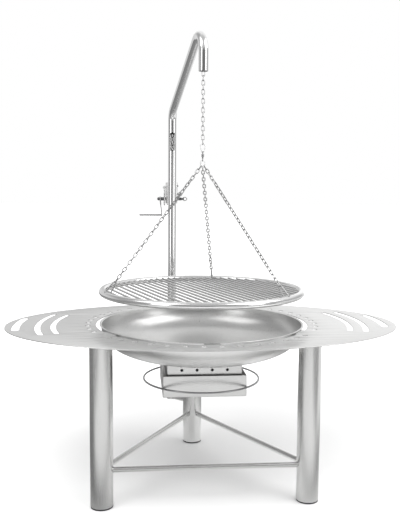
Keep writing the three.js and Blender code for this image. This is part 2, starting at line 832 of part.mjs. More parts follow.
const sideBolt = () =>
  joined([
    onAxle(side_bolt_radius / 2, frame_half - frame_sheet, frame_half + fit_gap),
    onAxle(side_bolt_radius, frame_half + fit_gap, frame_half + fit_gap + side_bolt_head, nut_sides),
  ]);

// The chain comes up off the drum, in through the back slot, and on up the middle of the mast
const winchChain = () => {
  const wide = point(1, 0, 0);
  const deep = point(0, 1, 0);
  const rising = point(0, 0, link_bite / 2);
  const off_drum = point(0, axle_back - drum_radius - link_wire - fit_gap, axle_height);
  const corner = point(0, corner_back, corner_height);
  const inside = point(0, 0, corner_height + corner_rise);
  const top = point(0, 0, kink_height - kink_radius);
  return joined([
    ...links(off_drum, corner.clone().sub(rising), wide, deep),
    ...links(corner.clone().add(rising), inside.clone().sub(rising), wide, wide),
    ...links(inside.clone().add(rising), top, deep, deep),
  ]);
};

const gallows = (parent) => {
  const mast = new THREE.Group();
  mast.position.set(mast_x, mast_y, 0);
  parent.add(mast);
  piece("gallows_tube", gallowsTube(), polished_steel, mast);
  piece("winch_frame", winchFrame(), satin_steel, mast);
  piece("winch_chain", winchChain(), chain_steel, mast);
  piece("pawl", pawlLever(), dark_steel, mast, [pawl_left, pawl_back, pawl_height]);
  piece("pawl_pin", pawlPin(), satin_steel, mast, [0, pawl_back, pawl_height]);
  piece("side_bolt", sideBolt(), dark_steel, mast, [0, side_bolt_back, side_bolt_height]);
  piece("side_knob", sideKnob(), satin_steel, mast, [0, knob_back, knob_height]);
  const crank = new THREE.Group();
  crank.position.set(0, axle_back, axle_height);
  mast.add(crank);
  piece("winch_axle", axle(), satin_steel, crank);
  piece("winch_drum", drum(), satin_steel, crank);
  piece("ratchet_wheel", ratchet(), satin_steel, crank);
  piece("hub_spacer", hubSpacer(), dark_steel, crank);
  piece("crank_arm", crankArm(), satin_steel, crank);
  piece("hub_nut", hubNut(), dark_steel, crank);
  piece("retaining_ring", retainingRing(clip_wire), chain_steel, crank);
  piece("grip_pin", gripPin(), satin_steel, crank, [0, 0, -crank_length]);
  piece("crank_grip", crankGrip(), polished_steel, crank, [0, 0, -crank_length]);
};

// Lift chain, from inside the tip down to the snap hook
const liftChain = () => {
  const top = point(0, 0, tip_height + link_pitch);
  const bottom = point(0, 0, snap_top - snap_wire - link_play);
  return chain(top, bottom, point(0, 1, 0), point(0, 1, 0));
};

// The pear-shaped snap hook in the XZ plane: a wide head, a narrow foot, and a gap on its right side
const snapRoute = () => {
  const head = snap_top - snap_head_radius;
  const foot = snap_top - snap_length + snap_foot_radius;
  const lean = Math.asin((snap_head_radius - snap_foot_radius) / (head - foot));
  const head_arc = span(snap_head_steps + 1).map((i) => {
    const a = -lean + (i / snap_head_steps) * (turn / 2 + 2 * lean);
    return point(snap_head_radius * Math.cos(a), 0, head + snap_head_radius * Math.sin(a));
  });
  const foot_arc = span(snap_foot_steps + 1).map((i) => {
    const a = turn / 2 + lean + (i / snap_foot_steps) * (turn / 2 - 2 * lean);
    return point(snap_foot_radius * Math.cos(a), 0, foot + snap_foot_radius * Math.sin(a));
  });
  return { head_arc, foot_arc };
};

// The gate closes the hook from its nose to its head
const gateEnds = () => {
  const { head_arc, foot_arc } = snapRoute();
  const foot = foot_arc[foot_arc.length - 1];
  const high = head_arc[0];
  const along = new THREE.Vector3().subVectors(high, foot).normalize();
  return { nose: foot.clone().addScaledVector(along, snap_nose), high, along };
};

const snapHook = () => {
  const { head_arc, foot_arc } = snapRoute();
  return carried([...head_arc, ...foot_arc, gateEnds().nose], snap_wire, 0, wire_sides);
};

const snapGate = () => {
  const { nose, high, along } = gateEnds();
  const hinge = high.addScaledVector(along, -gate_hinge_gap);
  return bar(nose.addScaledVector(along, 2 * fit_gap), hinge, gate_wire, wire_sides);
};

// Swivel: an upper eye on a barrel, and a stem with a ball and a lower eye that turns in it
const snap_foot_wire = snap_top - snap_length;
const eye_height = snap_foot_wire + snap_wire + swivel_wire + link_play - swivel_eye;
const barrel_top = eye_height - swivel_eye;
const barrel_low = barrel_top - swivel_barrel;
const ball_height = barrel_low - stem_play - stem_ball;
const lower_eye = ball_height - stem_ball - swivel_eye;

const wireRing = (radius, wire, z) =>
  solid(
    new THREE.TorusGeometry(radius, wire, swivel_wire_sides, round_sides)
      .rotateX(quarter)
      .rotateZ(quarter)
      .translate(0, 0, z),
  );

const swivelBody = () => {
  const barrel = disc(swivel_radius, barrel_low, barrel_top, round_sides);
  const bore = disc(stem_radius + stem_play, barrel_low - overrun, barrel_top - swivel_wire * 2, round_sides);
  return joined([barrel.subtract(bore), wireRing(swivel_eye, swivel_wire, eye_height)]);
};

const swivelStem = () => {
  const profile = span(stem_ball_steps + 1).map((i) => {
    const a = -quarter + (i / stem_ball_steps) * 2 * quarter;
    return [i % stem_ball_steps ? stem_ball * Math.cos(a) : 0, ball_height + stem_ball * Math.sin(a)];
  });
  return joined([
    solid(turned(profile, round_sides)),
    disc(stem_radius, ball_height, barrel_top - swivel_wire * 2 - stem_play, round_sides),
    wireRing(swivel_eye, swivel_wire, lower_eye),
  ]);
};

// The oval ring below the swivel, in the XZ plane
const ring_top = lower_eye - swivel_eye + swivel_wire + ring_link_wire + link_play;
const ring_low_centre = ring_top - ring_link_length + ring_link_radius;

const masterRing = () => {
  const [radius, wire] = [ring_link_radius, ring_link_wire];
  const shape = new THREE.TorusGeometry(radius, wire, ring_link_wire_sides, ring_link_sides);
  shape.rotateZ(turn / ring_link_sides / 2).rotateX(quarter);
  const places = shape.attributes.position;
  const lift = ring_link_length - 2 * ring_link_radius;
  for (const i of span(places.count)) if (places.getZ(i) > 0) places.setZ(i, places.getZ(i) + lift);
  return shape.translate(0, 0, ring_low_centre);
};

// Each suspension chain hangs on its own part of the ring's lower bend
const hang_angles = [-hang_spread, hang_spread, 0];
const chain_names = ["left", "right", "back"];

// The bent wire eye on the rim, drawn for a rim point on the +X axis. It leans in the way its chain pulls.
const rimTorus = (tube, sides) => new THREE.TorusGeometry(rim_radius, tube, sides, rim_sides);
const eyePlace = (up, out) =>
  point(
    rim_radius - up * Math.sin(eye_lean) + out * Math.cos(eye_lean),
    0,
    rim_height + up * Math.cos(eye_lean) + out * Math.sin(eye_lean),
  );
const eye_centre = eye_length - eye_wire - eye_bend_radius;

const rimEye = () => {
  const flare = Math.atan((eye_foot - eye_bend_radius) / eye_centre);
  const bend = span(eye_bend_steps + 1).map((i) => {
    const a = -flare + (i / eye_bend_steps) * (turn / 2 + 2 * flare);
    return eyePlace(eye_centre + eye_bend_radius * Math.sin(a), eye_bend_radius * Math.cos(a));
  });
  const wire = carried([eyePlace(0, eye_foot), ...bend, eyePlace(0, -eye_foot)], eye_wire, 0, wire_sides);
  return wire.subtract(solid(rimTorus(rim_tube + fit_gap, rim_tube_sides).translate(0, 0, rim_height)));
};

// Each chain end wraps the middle of the wire it hangs on
const suspension = (i) => {
  const bearing = first_eye + (i * turn) / chain_names.length;
  const hang = hang_angles[i];
  const bend = point(Math.sin(hang), 0, -Math.cos(hang)).multiplyScalar(ring_link_radius);
  const wire_at = bend.add(point(0, 0, ring_low_centre));
  const wire_along = point(Math.cos(hang), 0, Math.sin(hang));
  const eye_at = eyePlace(eye_centre + eye_bend_radius, 0).applyAxisAngle(point(0, 0, 1), bearing);
  const along = new THREE.Vector3().subVectors(eye_at, wire_at).normalize();
  const from = wire_at.clone().addScaledVector(along, -ring_link_wire - link_play);
  const to = eye_at.clone().addScaledVector(along, eye_wire + link_play);
  return chain(from, to, new THREE.Vector3().crossVectors(wire_along, along), around(1, bearing + quarter));
};

// Grate: a hollow rim tube with a vent hole, and round bars across it
const grateRing = () => {
  const bars = span(bar_count).map((i) => {
    const off = (i - (bar_count - 1) / 2) * bar_pitch;
    const half = Math.sqrt(rim_radius ** 2 - off ** 2);
    return bar(point(-half, off, bar_rise), point(half, off, bar_rise), bar_radius, bar_sides);
  });
  const vent = disc(rim_vent_radius, -rim_tube - overrun, 0, round_sides).translate(0, rim_radius, 0);
  const yaw = (first_eye - bar_heading) / degree;
  const rim = (tube, sides) => solid(rimTorus(tube, sides)).rotate([0, 0, yaw]);
  const lattice = joined([rim(rim_tube, rim_tube_sides), ...bars]);
  return cut(lattice, [rim(rim_tube - rim_wall, rim_bore_sides), vent]).rotate([0, 0, bar_heading / degree]);
};

const lift = (parent) => {
  piece("tip_guide", tipGuide(), dark_steel, parent);
  piece("lift_chain", liftChain(), chain_steel, parent);
  piece("snap_hook", snapHook(), chain_steel, parent);
  piece("snap_gate", snapGate(), chain_steel, parent);
  piece("swivel_body", swivelBody(), dark_steel, parent);
  piece("swivel_stem", swivelStem(), dark_steel, parent);
  piece("master_ring", masterRing(), chain_steel, parent);
  piece("grate", grateRing(), polished_steel, parent, [0, 0, rim_height]);
  for (const [i, name] of chain_names.entries()) {
    piece("suspension_chain_" + name, suspension(i), chain_steel, parent);
    const eye = piece("rim_eye_" + name, rimEye(), chain_steel, parent);
    eye.rotation.z = first_eye + (i * turn) / chain_names.length;
  }
};

const swing_grill = new THREE.Group();
stand(swing_grill);
fire(swing_grill);
socket(swing_grill);
gallows(swing_grill);
lift(swing_grill);

// The origin is on the floor under the middle of the whole object
const size = new THREE.Box3().setFromObject(swing_grill);
const middle = size.getCenter(new THREE.Vector3());
swing_grill.position.set(-middle.x, -middle.y, -size.min.z);

export default swing_grill;
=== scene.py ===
"""A swing grill in stainless steel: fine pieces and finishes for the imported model, on a white floor."""

import math

import bmesh
import bpy
import numpy as np
from mathutils import Matrix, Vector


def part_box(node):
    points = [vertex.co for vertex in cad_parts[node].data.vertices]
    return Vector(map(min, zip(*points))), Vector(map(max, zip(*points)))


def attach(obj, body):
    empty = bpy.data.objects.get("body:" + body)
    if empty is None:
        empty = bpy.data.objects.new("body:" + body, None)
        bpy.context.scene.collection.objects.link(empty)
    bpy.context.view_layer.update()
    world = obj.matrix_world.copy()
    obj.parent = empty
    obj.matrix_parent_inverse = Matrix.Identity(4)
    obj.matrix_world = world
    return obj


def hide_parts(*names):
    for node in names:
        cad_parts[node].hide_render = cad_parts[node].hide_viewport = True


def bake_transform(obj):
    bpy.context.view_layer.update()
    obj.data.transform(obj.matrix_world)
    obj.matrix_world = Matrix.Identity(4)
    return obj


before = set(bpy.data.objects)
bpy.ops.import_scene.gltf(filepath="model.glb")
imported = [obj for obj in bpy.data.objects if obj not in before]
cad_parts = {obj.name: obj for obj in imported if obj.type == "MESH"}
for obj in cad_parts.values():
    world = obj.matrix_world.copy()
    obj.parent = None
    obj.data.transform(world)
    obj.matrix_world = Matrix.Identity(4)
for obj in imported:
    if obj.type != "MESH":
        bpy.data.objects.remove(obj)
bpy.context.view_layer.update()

# Measures are in mm and places are from the bowl's axis at floor level, with Y to the back and Z up
MM = 0.001
TURN = 2 * math.pi
UP = np.array([0.0, 0.0, 1.0])
bowl_low, bowl_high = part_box("fire_bowl")
BOWL_AXIS = np.array([(bowl_low[0] + bowl_high[0]) / 2, (bowl_low[1] + bowl_high[1]) / 2, 0.0])


# Points and outlines


def placed(points):
    """Points in mm from the bowl's axis as points of the model's frame in metres."""
    return np.asarray(points, float) * MM + BOWL_AXIS


def polar(radius, degrees, z=0.0):
    """A place at a radius and a bearing round the bowl's axis."""
    a = math.radians(degrees)
    return np.array([radius * math.cos(a), radius * math.sin(a), z])


def bearing_turn(points, degrees):
    """Points turned about the bowl's axis."""
    c, s = math.cos(math.radians(degrees)), math.sin(math.radians(degrees))
    return np.asarray(points, float) @ np.array([[c, s, 0], [-s, c, 0], [0, 0, 1]])


def spread(flat, origin=(0, 0, 0), x=(1, 0, 0), y=(0, 1, 0)):
    """Flat [u, v] points as places: the origin plus u times x plus v times y."""
    origin, x, y = (np.asarray(v, float) for v in (origin, x, y))
    return origin + flat[:, :1] * x + flat[:, 1:] * y


def line(a, b, count=2):
    """Evenly spaced points from one point to another."""
    return np.linspace(np.asarray(a, float), np.asarray(b, float), count)


def circle(radius, count=20, start=0.0):
    """A closed ring of flat points: the radius times the cosine and the sine of an angle. The first is at
    the start, in radians."""
    a = start + np.arange(count) * TURN / count
    return radius * np.stack([np.cos(a), np.sin(a)], axis=-1)


def arc(radius, start, end, count, centre=(0, 0)):
    """Flat points on an arc: the centre plus the radius times the cosine and the sine of an angle that goes
    from start to end in degrees."""
    a = np.radians(np.linspace(start, end, count))
    return np.asarray(centre, float) + radius * np.stack([np.cos(a), np.sin(a)], axis=-1)


def long_round(half, low, high, steps):
    """An upright outline with round ends: two half circles of one radius, about a low and a high centre."""
    return np.concatenate([arc(half, 0, 180, steps, (0, high)), arc(half, 180, 360, steps, (0, low))])


def rounded_section(width, height, radius, steps=4):
    """A rectangle with a quarter circle at each corner, as [across, up] points."""
    corners = []
    for side, over, start in ((1, 1, 0), (-1, 1, 90), (-1, -1, 180), (1, -1, 270)):
        centre = (side * (width / 2 - radius), over * (height / 2 - radius))
        corners.append(arc(radius, start, start + 90, steps + 1, centre))
    return np.concatenate(corners)


# Surfaces: a shape is an array of vertices and a list of face arrays


def volume(vertices, faces):
    """The signed volume inside a closed mesh of quads or triangles: a sixth of the sum over its triangles
    of one corner times the cross product of the other two."""
    total = 0.0
    for i in range(1, faces.shape[1] - 1):
        a, b, c = vertices[faces[:, 0]], vertices[faces[:, i]], vertices[faces[:, i + 1]]
        total += np.einsum("ij,ij->", a, np.cross(b, c)) / 6
    return total


def outward(vertices, groups):
    """A closed shape with its faces turned outwards, as its volume's sign tells."""
    if sum(volume(vertices, f) for f in groups) < 0:
        groups = [f[:, ::-1] for f in groups]
    return vertices, groups


def joined(parts):
    """Several shapes as one."""
    vertices = []
    groups = []
    count = 0
    for v, g in parts:
        vertices.append(v)
        groups += [f + count for f in g]
        count += len(v)
    return np.concatenate(vertices), groups


def grid_faces(rows, columns, close_rows, close_columns):
    """Quads between neighbours of a rows by columns grid of vertices, closed round either way if asked."""
    r = np.arange(rows if close_rows else rows - 1)
    c = np.arange(columns if close_columns else columns - 1)
    r, c = np.meshgrid(r, c, indexing="ij")
    r2, c2 = (r + 1) % rows, (c + 1) % columns
    quads = np.stack([r * columns + c, r * columns + c2, r2 * columns + c2, r2 * columns + c], axis=-1)
    return quads.reshape(-1, 4)


def fan_faces(ring, centre, flip):
    """Triangles from a closed ring of vertex numbers to one centre vertex."""
    following = np.roll(ring, -1)
    order = (following, ring) if flip else (ring, following)
    return np.stack([order[0], order[1], np.full(len(ring), centre)], axis=-1)


def skinned(rings):
    """A skin over rings of points, each joined to the next and the last to the first: quads between two
    rings, and a fan of triangles where one of them is a single point."""
    rows = []
    count = 0
    for ring in rings:
        rows.append(np.arange(count, count + len(ring)))
        count += len(ring)
    quads = []
    triangles = []
    for a, b in zip(rows, rows[1:] + rows[:1]):
        if len(a) > 1 and len(b) > 1:
            quads.append(np.stack([a, np.roll(a, -1), np.roll(b, -1), b], axis=-1))
        elif len(a) > 1:
            triangles.append(fan_faces(a, b[0], False))
        elif len(b) > 1:
            triangles.append(fan_faces(b, a[0], True))
    return np.concatenate(rings), [np.concatenate(g) for g in (quads, triangles) if g]


def turned(profile, sides=96, at=(0, 0, 0), axis="z"):
    """A closed profile of [radius, height] points turned about an axis through a place: each goes round as
    its radius times the cosine and the sine of the angle, at its height. A point with radius 0 is one
    vertex on the axis."""
    rings = []
    for radius, height in np.asarray(profile, float):
        flat = circle(radius, sides) if radius > 1e-6 else np.zeros((1, 2))
        rings.append(spread(flat, (0, 0, height)))
    vertices, groups = skinned(rings)
    order = {"x": [2, 0, 1], "y": [1, 2, 0], "z": [0, 1, 2]}[axis]
    return outward(vertices[:, order] + np.asarray(at, float), groups)


def boxed(profile):
    """A closed profile of [half width, height, corner radius] points carried round a square with round
    corners. A half width of 0 is one vertex in the middle."""
    rings = []
    for half, height, radius in profile:
        flat = rounded_section(2 * half, 2 * half, radius, 5) if half else np.zeros((1, 2))
        rings.append(spread(flat, (0, 0, height)))
    return outward(*skinned(rings))


def frames_along(path, closed=False, start_normal=None):
    """Two unit normals carried along a path without twist, each turned only as far as the path bends."""
    if closed:
        tangents = np.roll(path, -1, axis=0) - np.roll(path, 1, axis=0)
    else:
        tangents = np.gradient(path, axis=0)
    tangents /= np.linalg.norm(tangents, axis=1, keepdims=True)
    if start_normal is None:
        start_normal = np.eye(3)[np.argmin(np.abs(tangents[0]))]
    normal = np.asarray(start_normal, float)
    normals = []
    for t in tangents:
        normal = normal - t * (normal @ t)
        normal = normal / np.linalg.norm(normal)
        normals.append(normal)
    normals = np.array(normals)
    return normals, np.cross(tangents, normals)


def swept(path, section, closed=False, start_normal=None, bevel=0.0):
    """A closed section of [across, up] points carried along a path: the path's point plus across times its
    first normal plus up times its second. Open ends are capped, with a small bevel if asked."""
    normals, binormals = frames_along(path, closed, start_normal)
    scale = np.ones(len(path))
    if bevel:
        ends = (path[1] - path[0], path[-1] - path[-2])
        steps = [e / np.linalg.norm(e) * bevel for e in ends]
        path = np.concatenate([path[:1], path[:1] + steps[0], path[1:-1], path[-1:] - steps[1], path[-1:]])
        normals, binormals = (np.concatenate([n[:1], n, n[-1:]]) for n in (normals, binormals))
        scale = np.ones(len(path))
        scale[[0, -1]] = 1 - bevel / np.abs(section).max()
    across = section[None, :, :1] * scale[:, None, None]
    up = section[None, :, 1:] * scale[:, None, None]
    rings = path[:, None, :] + normals[:, None, :] * across + binormals[:, None, :] * up
    n, m = rings.shape[:2]
    vertices = rings.reshape(-1, 3)
    groups = [grid_faces(n, m, closed, True)]
    if not closed:
        vertices = np.concatenate([vertices, path[:1], path[-1:]])
        first, last = np.arange(m), np.arange((n - 1) * m, n * m)
        groups.append(np.concatenate([fan_faces(first, n * m, False), fan_faces(last, n * m + 1, True)]))
    return outward(vertices, groups)


def hollow(path, outer, inner, sides, start_normal):
    """A tube along a path: out along its outside, back along its inside, closed at both ends."""
    normals, binormals = frames_along(path, False, start_normal)
    rows = []
    for radius, order in ((outer, 1), (inner, -1)):
        section = circle(radius, sides)
        across, up = section[None, :, :1], section[None, :, 1:]
        ring = path[:, None] + normals[:, None] * across + binormals[:, None] * up
        rows.append(ring[::order])
    rings = np.concatenate(rows)
    return outward(rings.reshape(-1, 3), [grid_faces(len(rings), sides, True, True)])


def slab(x0, x1, y0, y1, z0, z1, radius=0.4):
    """A block with slightly round long edges: a rounded rectangle carried along Y."""
    middle_x, middle_z = (x0 + x1) / 2, (z0 + z1) / 2
    path = line([middle_x, y0, middle_z], [middle_x, y1, middle_z])
    section = rounded_section(x1 - x0, z1 - z0, radius, 2)
    return swept(path, section, start_normal=(1, 0, 0), bevel=radius)


def prism(outline, low, high, bevel, origin, x, y, z):
    """An outline carried from low to high along z, its corners drawn in by the bevel at both faces. Each
    point is the origin plus its three numbers times x, y and z. The faces are fans, so the outline is seen
    whole from its middle."""
    before, after = np.roll(outline, 1, axis=0), np.roll(outline, -1, axis=0)
    edges = [outline - before, after - outline]
    edges = [e / np.linalg.norm(e, axis=1, keepdims=True) for e in edges]
    normals = [np.stack([e[:, 1], -e[:, 0]], axis=-1) for e in edges]
    mean = normals[0] + normals[1]
    mean /= np.maximum(np.einsum("ij,ij->i", mean, normals[0])[:, None], 0.3)
    area = np.sum(before[:, 0] * outline[:, 1] - before[:, 1] * outline[:, 0])
    inset = outline - mean * bevel * np.sign(area)
    levels = ((inset, low), (outline, low + bevel), (outline, high - bevel), (inset, high))
    middle = outline.mean(axis=0)
    flat = np.concatenate([*(spread(o, (0, 0, h)) for o, h in levels), [[*middle, low], [*middle, high]]])
    n = len(outline)
    first, last = np.arange(n), np.arange(3 * n, 4 * n)
    groups = [grid_faces(4, n, False, True)]
    groups.append(np.concatenate([fan_faces(first, 4 * n, True), fan_faces(last, 4 * n + 1, False)]))
    axes = np.stack([np.asarray(v, float) for v in (x, y, z)])
    return outward(np.asarray(origin, float) + flat @ axes, groups)


def along_x(outline, low, high, bevel, origin):
    """A prism whose outline lies in the YZ plane and whose length runs along X."""
    return prism(outline, low, high, bevel, origin, (0, 1, 0), (0, 0, 1), (1, 0, 0))


def pin(radius, x0, x1, at, bevel=0.5):
    """A short round bar along X with bevelled ends."""
    face = radius - bevel
    profile = [[0, x0], [face, x0], [radius, x0 + bevel], [radius, x1 - bevel], [face, x1], [0, x1]]
    return turned(profile, 40, at, "x")


def lump(centre, radii, sides=14):
    """A small ellipsoid, such as a spot of weld: a half circle turned, then stretched by its three radii."""
    vertices, groups = turned(arc(1, -90, 90, 9), sides)
    return vertices * np.asarray(radii, float) + np.asarray(centre, float), groups


def weld_bead(section, centre, along, radius, bead, ripple=0.0):
    """The bead where a tube of some section meets an upright tube of a bigger radius. Each point lies out
    along the tube by the square root of the big radius squared less its distance across squared. A ripple
    swells and thins the bead in 17 waves."""
    out = np.sqrt(radius**2 - section[:, :1] ** 2)
    path = spread(section, centre + out * along, np.cross(UP, along), UP)
    vertices, groups = swept(path, circle(bead, 8), closed=True)
    count = len(path)
    wave = 1 + ripple * np.sin(17 * np.arange(count) * TURN / count)
    rings = path[:, None] + (vertices.reshape(count, 8, 3) - path[:, None]) * wave[:, None, None]
    return rings.reshape(-1, 3), groups


# Pieces


def mesh_of(name, vertices, face_groups, sharp=35.0):
    """One mesh from vertices in mm and arrays of faces, smooth below an angle."""
    loops = np.concatenate([f.ravel() for f in face_groups])
    sizes = np.concatenate([np.full(len(f), f.shape[1]) for f in face_groups])
    mesh = bpy.data.meshes.new(name)
    mesh.vertices.add(len(vertices))
    mesh.vertices.foreach_set("co", placed(vertices).astype(np.float32).ravel())
    mesh.loops.add(len(loops))
    mesh.loops.foreach_set("vertex_index", loops.astype(np.int32))
    mesh.polygons.add(len(sizes))
    mesh.polygons.foreach_set("loop_start", (np.cumsum(sizes) - sizes).astype(np.int32))
    mesh.update(calc_edges=True)
    return smoothed(mesh, sharp)


def smoothed(mesh, sharp):
    """The mesh with smooth faces, and sharp edges where two faces meet at more than an angle in degrees."""
    mesh.polygons.foreach_set("use_smooth", np.ones(len(mesh.polygons), bool))
    mesh.set_sharp_from_angle(angle=math.radians(sharp))
    return mesh


def linked(name, data):
    """A new object in the scene."""
    thing = bpy.data.objects.new(name, data)
    bpy.context.scene.collection.objects.link(thing)
    return thing


def final_mesh(thing):
    """The mesh that an object has once its modifiers or its curve are worked out."""
    bpy.context.view_layer.update()
    graph = bpy.context.evaluated_depsgraph_get()
    return bpy.data.meshes.new_from_object(thing.evaluated_get(graph))


def plate(name, outlines, low, high, bevel):
    """A level sheet from height low to high, cut to closed outlines: the first outside, the others holes."""
    sheet = bpy.data.curves.new(name, "CURVE")
    sheet.dimensions = "2D"
    sheet.fill_mode = "BOTH"
    sheet.extrude = (high - low) / 2 - bevel
    sheet.bevel_depth = bevel
    sheet.offset = -bevel
    sheet.bevel_resolution = 1
    for outline in outlines:
        spline = sheet.splines.new("POLY")
        spline.points.add(len(outline) - 1)
        flat = np.concatenate([outline, np.zeros((len(outline), 1)), np.ones((len(outline), 1))], axis=1)
        spline.points.foreach_set("co", flat.ravel())
        spline.use_cyclic_u = True
    helper = linked(name + "_outline", sheet)
    mesh = final_mesh(helper)
    bpy.data.objects.remove(helper)
    places = np.zeros(len(mesh.vertices) * 3)
    mesh.vertices.foreach_get("co", places)
    places = places.reshape(-1, 3) + [0, 0, (low + high) / 2]
    mesh.vertices.foreach_set("co", placed(places).ravel())
    mesh.name = name
    work = bmesh.new()
    work.from_mesh(mesh)
    bmesh.ops.remove_doubles(work, verts=work.verts, dist=1e-6)
    bmesh.ops.recalc_face_normals(work, faces=work.faces)
    work.to_mesh(mesh)
    work.free()
    return smoothed(mesh, 50.0)


def cut_from(piece, cutters):
    """Takes closed cutter shapes out of a piece and keeps the result as its mesh."""
    helpers = []
    for i, shape in enumerate(cutters):
        helper = linked(f"cutter_{i}", mesh_of(f"cutter_{i}", *shape))
        modifier = piece.modifiers.new(f"cut_{i}", "BOOLEAN")
        modifier.operation = "DIFFERENCE"
        modifier.solver = "EXACT"
        modifier.object = helper
        helpers.append(helper)
    mesh = final_mesh(piece)
    piece.modifiers.clear()
    piece.data = smoothed(mesh, 35.0)
    for helper in helpers:
        bpy.data.objects.remove(helper)


def add(name, shape, material, body, nodes=(), sharp=35.0, cutters=()):
    """One finished piece: a mesh or a shape, its finish, the body it rides on and the nodes it replaces."""
    piece = linked(name, shape if isinstance(shape, bpy.types.Mesh) else mesh_of(name, *shape, sharp))
    if cutters:
        cut_from(piece, cutters)
    piece.data.materials.clear()
    piece.data.materials.append(material)
    if isinstance(body, tuple):
        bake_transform(piece)
    else:
        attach(piece, body)
    if nodes:
        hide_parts(*nodes)


# Finishes


def feed(tree, node, inputs):
    """Sets a node's inputs: an output of another node is linked, and anything else is set as a value."""
    for socket, value in inputs.items():
        if isinstance(value, bpy.types.NodeSocket):
            tree.links.new(value, node.inputs[socket])
        else:
            node.inputs[socket].default_value = value


def outputs_of(tree, kind, inputs=None, **settings):
    """The outputs of a new shader node with its inputs and settings."""
    node = tree.nodes.new("ShaderNode" + kind)
    for setting, value in settings.items():
        setattr(node, setting, value)
    feed(tree, node, inputs or {})
    return node.outputs


def between(tree, share, first, second):
    """A colour between two colours."""
    ends = {0: share, 6: (*first, 1.0), 7: (*second, 1.0)}
    return outputs_of(tree, "Mix", ends, data_type="RGBA")[2]


def steel(name, grey, roughness, spread_by, grain, bump, blotch=0.04):
    """Ground or polished steel. The grain is fine noise drawn out along one direction of the object, which
    varies the roughness and the relief; a broad noise varies the colour a little."""
    material = bpy.data.materials.new(name)
    material.use_nodes = True
    tree = material.node_tree
    place = outputs_of(tree, "TexCoord")["Object"]
    drawn = outputs_of(tree, "Mapping", {"Vector": place, "Scale": grain})[0]
    fine = {"Vector": drawn, "Scale": 1.0, "Detail": 5.0, "Roughness": 0.65}
    fine = outputs_of(tree, "TexNoise", fine)["Fac"]
    least, most = roughness - spread_by, roughness + spread_by
    reach = {"Value": fine, "From Min": 0.3, "From Max": 0.7, "To Min": least, "To Max": most}
    rough = outputs_of(tree, "MapRange", reach)["Result"]
    relief = outputs_of(tree, "Bump", {"Height": fine, "Strength": bump, "Distance": 0.0004})[0]
    broad = outputs_of(tree, "TexNoise", {"Vector": place, "Scale": 9.0, "Detail": 3.0})["Fac"]
    base = np.array(grey)
    tone = between(tree, broad, base * (1 - blotch), np.minimum(base * (1 + blotch), 1.0))
    finish = {"Metallic": 1.0, "Base Color": tone, "Roughness": rough, "Normal": relief}
    feed(tree, tree.nodes["Principled BSDF"], finish)
    return material


def moulded_black():
    """Matt black plastic with a fine pitted skin."""
    material = bpy.data.materials.new("black_foot_plastic")
    material.use_nodes = True
    tree = material.node_tree
    place = outputs_of(tree, "TexCoord")["Object"]
    pits = outputs_of(tree, "TexNoise", {"Vector": place, "Scale": 900.0, "Detail": 3.0})["Fac"]
    tone = between(tree, pits, (0.012, 0.012, 0.013), (0.03, 0.03, 0.032))
    relief = outputs_of(tree, "Bump", {"Height": pits, "Strength": 0.2, "Distance": 0.0003})[0]
    feed(tree, tree.nodes["Principled BSDF"], {"Base Color": tone, "Roughness": 0.55, "Normal": relief})
    return material


# Grains: how often the noise changes in each metre along X, Y and Z
LONG_X, LONG_Z, TURNED_X = (14.0, 900.0, 900.0), (900.0, 900.0, 14.0), (40.0, 900.0, 900.0)
SPUN, FINE, MIDDLING, COARSE = ((n, n, n) for n in (260.0, 500.0, 400.0, 300.0))

# Each steel: colour, roughness and its spread, grain, depth of the relief, share by which the colour varies
ground_sheet = steel("ground_sheet_steel", (0.62, 0.62, 0.615), 0.33, 0.05, LONG_X, 0.12)
ground_tube = steel("ground_tube_steel", (0.56, 0.56, 0.555), 0.25, 0.04, LONG_Z, 0.12)
spun_bowl = steel("spun_bowl_steel", (0.6, 0.6, 0.595), 0.3, 0.04, SPUN, 0.05)
folded_sheet = steel("folded_sheet_steel", (0.56, 0.56, 0.555), 0.3, 0.05, LONG_X, 0.1)
polished_tube = steel("polished_tube_steel", (0.7, 0.7, 0.7), 0.13, 0.015, LONG_Z, 0.004)
polished_bar = steel("polished_bar_steel", (0.66, 0.66, 0.66), 0.16, 0.02, COARSE, 0.008)
drawn_rod = steel("drawn_rod_steel", (0.5, 0.5, 0.5), 0.17, 0.02, COARSE, 0.02)
chain_wire = steel("chain_wire_steel", (0.39, 0.39, 0.39), 0.24, 0.06, FINE, 0.08, 0.1)
dark_hardware = steel("dark_hardware_steel", (0.16, 0.16, 0.165), 0.35, 0.08, FINE, 0.1, 0.15)
turned_steel = steel("turned_hardware_steel", (0.55, 0.55, 0.55), 0.25, 0.04, TURNED_X, 0.03)
plated_steel = steel("plated_hardware_steel", (0.85, 0.85, 0.85), 0.42, 0.05, MIDDLING, 0.02)
blued_steel = steel("blued_hardware_steel", (0.3, 0.3, 0.305), 0.3, 0.06, FINE, 0.08, 0.12)
foot_plastic = moulded_black()


# The stand: a table on three legs with braces between them

TABLE_TOP, TABLE_UNDER = 640.0, 637.0
TABLE_REACH, TABLE_MIDDLE = (758, 488), (4, -18)
# The arc slots at each end of the table: radius, width, and reach to each side in degrees
END_SLOTS = ((573, 20, 19.0), (631, 21, 19.0), (711, 29, 9.5))
SEAT_RADIUS, TAB_REACH = 412.0, 395.0
# The tabs that carry the bowl: bearing and width
SEAT_TABS = ((210.0, 62.0), (270.0, 57.0), (330.0, 62.0), (450.0, 62.0))
VENT_RADIUS, VENT_CIRCLE, VENT_COUNT = 11.0, 443, 45
LEG_CIRCLE, LEG_RADIUS = 442.0, 42.0
LEGS = {"front_left": 210.0, "front_right": 330.0, "back": 90.0}
BRACE_RADIUS, BRACE_HEIGHT = 10.0, 138.0
